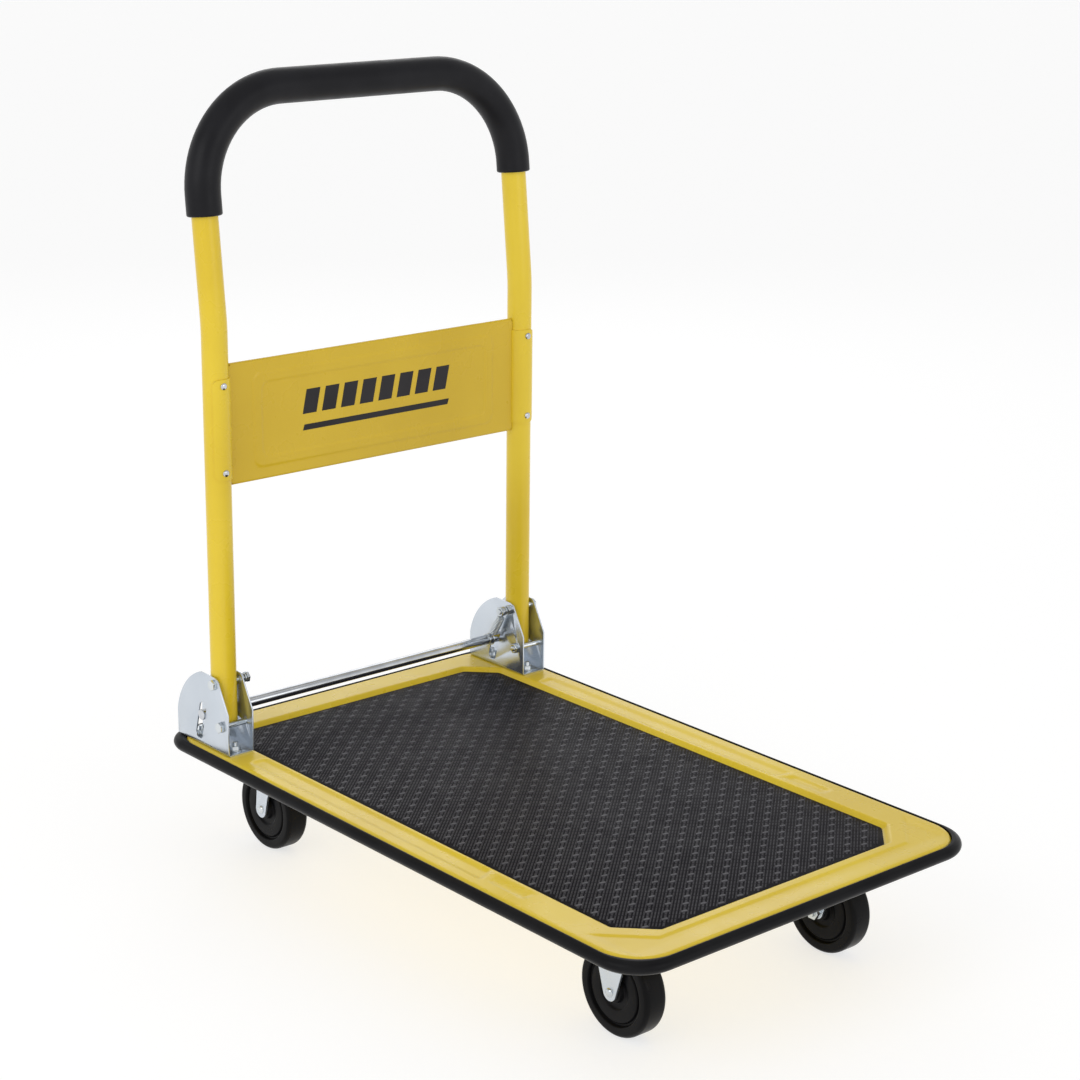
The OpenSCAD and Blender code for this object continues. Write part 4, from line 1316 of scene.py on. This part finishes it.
def makeWheel(x, side, name, body, node, bush):
    look = wheelLook
    w, r = look["width"] / 2, cart["wheelRadius"]
    # hub, dished web, ring, groove and tread: radius, height above the middle and rounding of each corner
    half = [(6.05, w + 1.2, 0), (10.2, w + 1.2, 0.8), (11.6, w - 3.5, 0.9), (16.8, w - 3.5, 1.2),
            (18.4, w - 1.4, 0.9), (29.6, w - 1.4, 1.0), (30.8, w - 3.8, 0.7), (32.6, w - 3.8, 0.7),
            (33.8, w, 0.9), (r - 2.4, w, 1.8), (r, w - 3.2, 2.2)]
    corners = half + [(a, -b, c) for a, b, c in reversed(half)]
    profile = [(p.x, p.y) for p in roundProfile(corners, 4)]
    centre = (x, side * cart["casterY"], cart["wheelRadius"])
    verts, faces = skinRings(latheRings(profile, centre, look["steps"]), True, True)
    wheel = newPiece(name, verts, faces, wheelRubber, 35)
    cleanNormals(wheel)
    shadeSmooth(wheel, 35)
    place(wheel, body, "wheel_rubber", node)
    easedCopy(bush, name + "Bush", body, "zinc", boltZinc, 0.3)


for end, x in (("front", cart["frontAxle"]), ("rear", cart["rearAxle"])):
    for side, word in ((1, "left"), (-1, "right")):
        wheel, bush = ("_".join((part, end, word)) for part in ("wheel", "bush"))
        makeWheel(x, side, "wheel" + end.title() + word.title(), wheel, wheel, bush)
print("wheels made")


studio = {"floorColour": (0.36, 0.36, 0.36), "floorGlow": 0.70, "floorHalf": 14,
          "horizon": 0.98, "zenith": 0.50, "horizonZ": 0.12, "zenithZ": 0.85,
          "keyPower": 15, "fillPower": 8, "rimPower": 8, "topPower": 5}


def makeFloor():
    mesh = bpy.data.meshes.new("studioFloor")
    s = studio["floorHalf"]
    mesh.from_pydata([(-s, -s, 0), (s, -s, 0), (s, s, 0), (-s, s, 0)], [], [(0, 1, 2, 3)])
    floor = bpy.data.objects.new("studioFloor", mesh)
    bpy.context.scene.collection.objects.link(floor)
    material = bpy.data.materials.new("paleFloor")
    material.use_nodes = True
    shader = material.node_tree.nodes["Principled BSDF"]
    shader.inputs["Base Color"].default_value = (*studio["floorColour"], 1)
    shader.inputs["Roughness"].default_value = 0.85
    shader.inputs["Specular IOR Level"].default_value = 0.2
    shader.inputs["Emission Color"].default_value = (1, 1, 1, 1)
    shader.inputs["Emission Strength"].default_value = studio["floorGlow"]
    mesh.materials.append(material)


def softLight(name, spot, aim, size, power):
    data = bpy.data.lights.new(name, "AREA")
    data.shape = "RECTANGLE"
    data.size, data.size_y = size
    data.energy = power
    light = bpy.data.objects.new(name, data)
    bpy.context.scene.collection.objects.link(light)
    light.location = spot
    light.rotation_euler = (Vector(aim) - Vector(spot)).to_track_quat("-Z", "Y").to_euler()


def makeStudio():
    bpy.context.scene.view_settings.view_transform = "Standard"
    world = bpy.data.worlds.new("studioWorld")
    bpy.context.scene.world = world
    world.use_nodes = True
    tree = world.node_tree
    back = tree.nodes["Background"]
    back.inputs["Color"].default_value = (1, 1, 1, 1)
    # bright round the horizon, dimmer straight above
    aim = tree.nodes.new("ShaderNodeTexCoord")
    parts = tree.nodes.new("ShaderNodeSeparateXYZ")
    tree.links.new(aim.outputs["Generated"], parts.inputs[0])
    fade = tree.nodes.new("ShaderNodeMapRange")
    fade.inputs["From Min"].default_value = studio["horizonZ"]
    fade.inputs["From Max"].default_value = studio["zenithZ"]
    fade.inputs["To Min"].default_value = studio["horizon"]
    fade.inputs["To Max"].default_value = studio["zenith"]
    tree.links.new(parts.outputs["Z"], fade.inputs["Value"])
    tree.links.new(fade.outputs["Result"], back.inputs["Strength"])
    softLight("overhead", (0.1, -0.2, 2.6), (0, 0, 0.2), (2.6, 2.6), studio["topPower"])
    softLight("keyLeft", (0.4, -2.6, 1.9), (-0.1, 0, 0.3), (2.0, 1.6), studio["keyPower"])
    softLight("fillFront", (2.8, 0.4, 1.2), (0, 0, 0.3), (1.8, 1.4), studio["fillPower"])
    softLight("rimBack", (-2.2, 1.6, 1.8), (-0.1, 0, 0.4), (1.6, 1.6), studio["rimPower"])


# viewpoint, its turn round the cart, its height angle and its slight roll
viewPoint = {"place": (1.7104, -1.5004, 1.0485), "turn": 49.07, "down": 16.5, "roll": 0.59, "lens": 82.669}


def makeCamera():
    a, e, r = (math.radians(viewPoint[k]) for k in ("turn", "down", "roll"))
    back = Vector((math.sin(a) * math.cos(e), -math.cos(a) * math.cos(e), math.sin(e)))
    right = Vector((math.cos(a), math.sin(a), 0))
    up = back.cross(right)
    rolledRight = right * math.cos(r) + up * math.sin(r)
    rolledUp = up * math.cos(r) - right * math.sin(r)
    data = bpy.data.cameras.new("studioCamera")
    data.lens = viewPoint["lens"]
    data.sensor_width = 36
    data.clip_end = 100
    camera = bpy.data.objects.new("studioCamera", data)
    bpy.context.scene.collection.objects.link(camera)
    turn = Matrix((rolledRight, rolledUp, back)).transposed().to_4x4()
    camera.matrix_world = Matrix.Translation(Vector(viewPoint["place"])) @ turn
    bpy.context.scene.camera = camera


makeFloor()
makeStudio()
makeCamera()
print("floor, light and camera made")
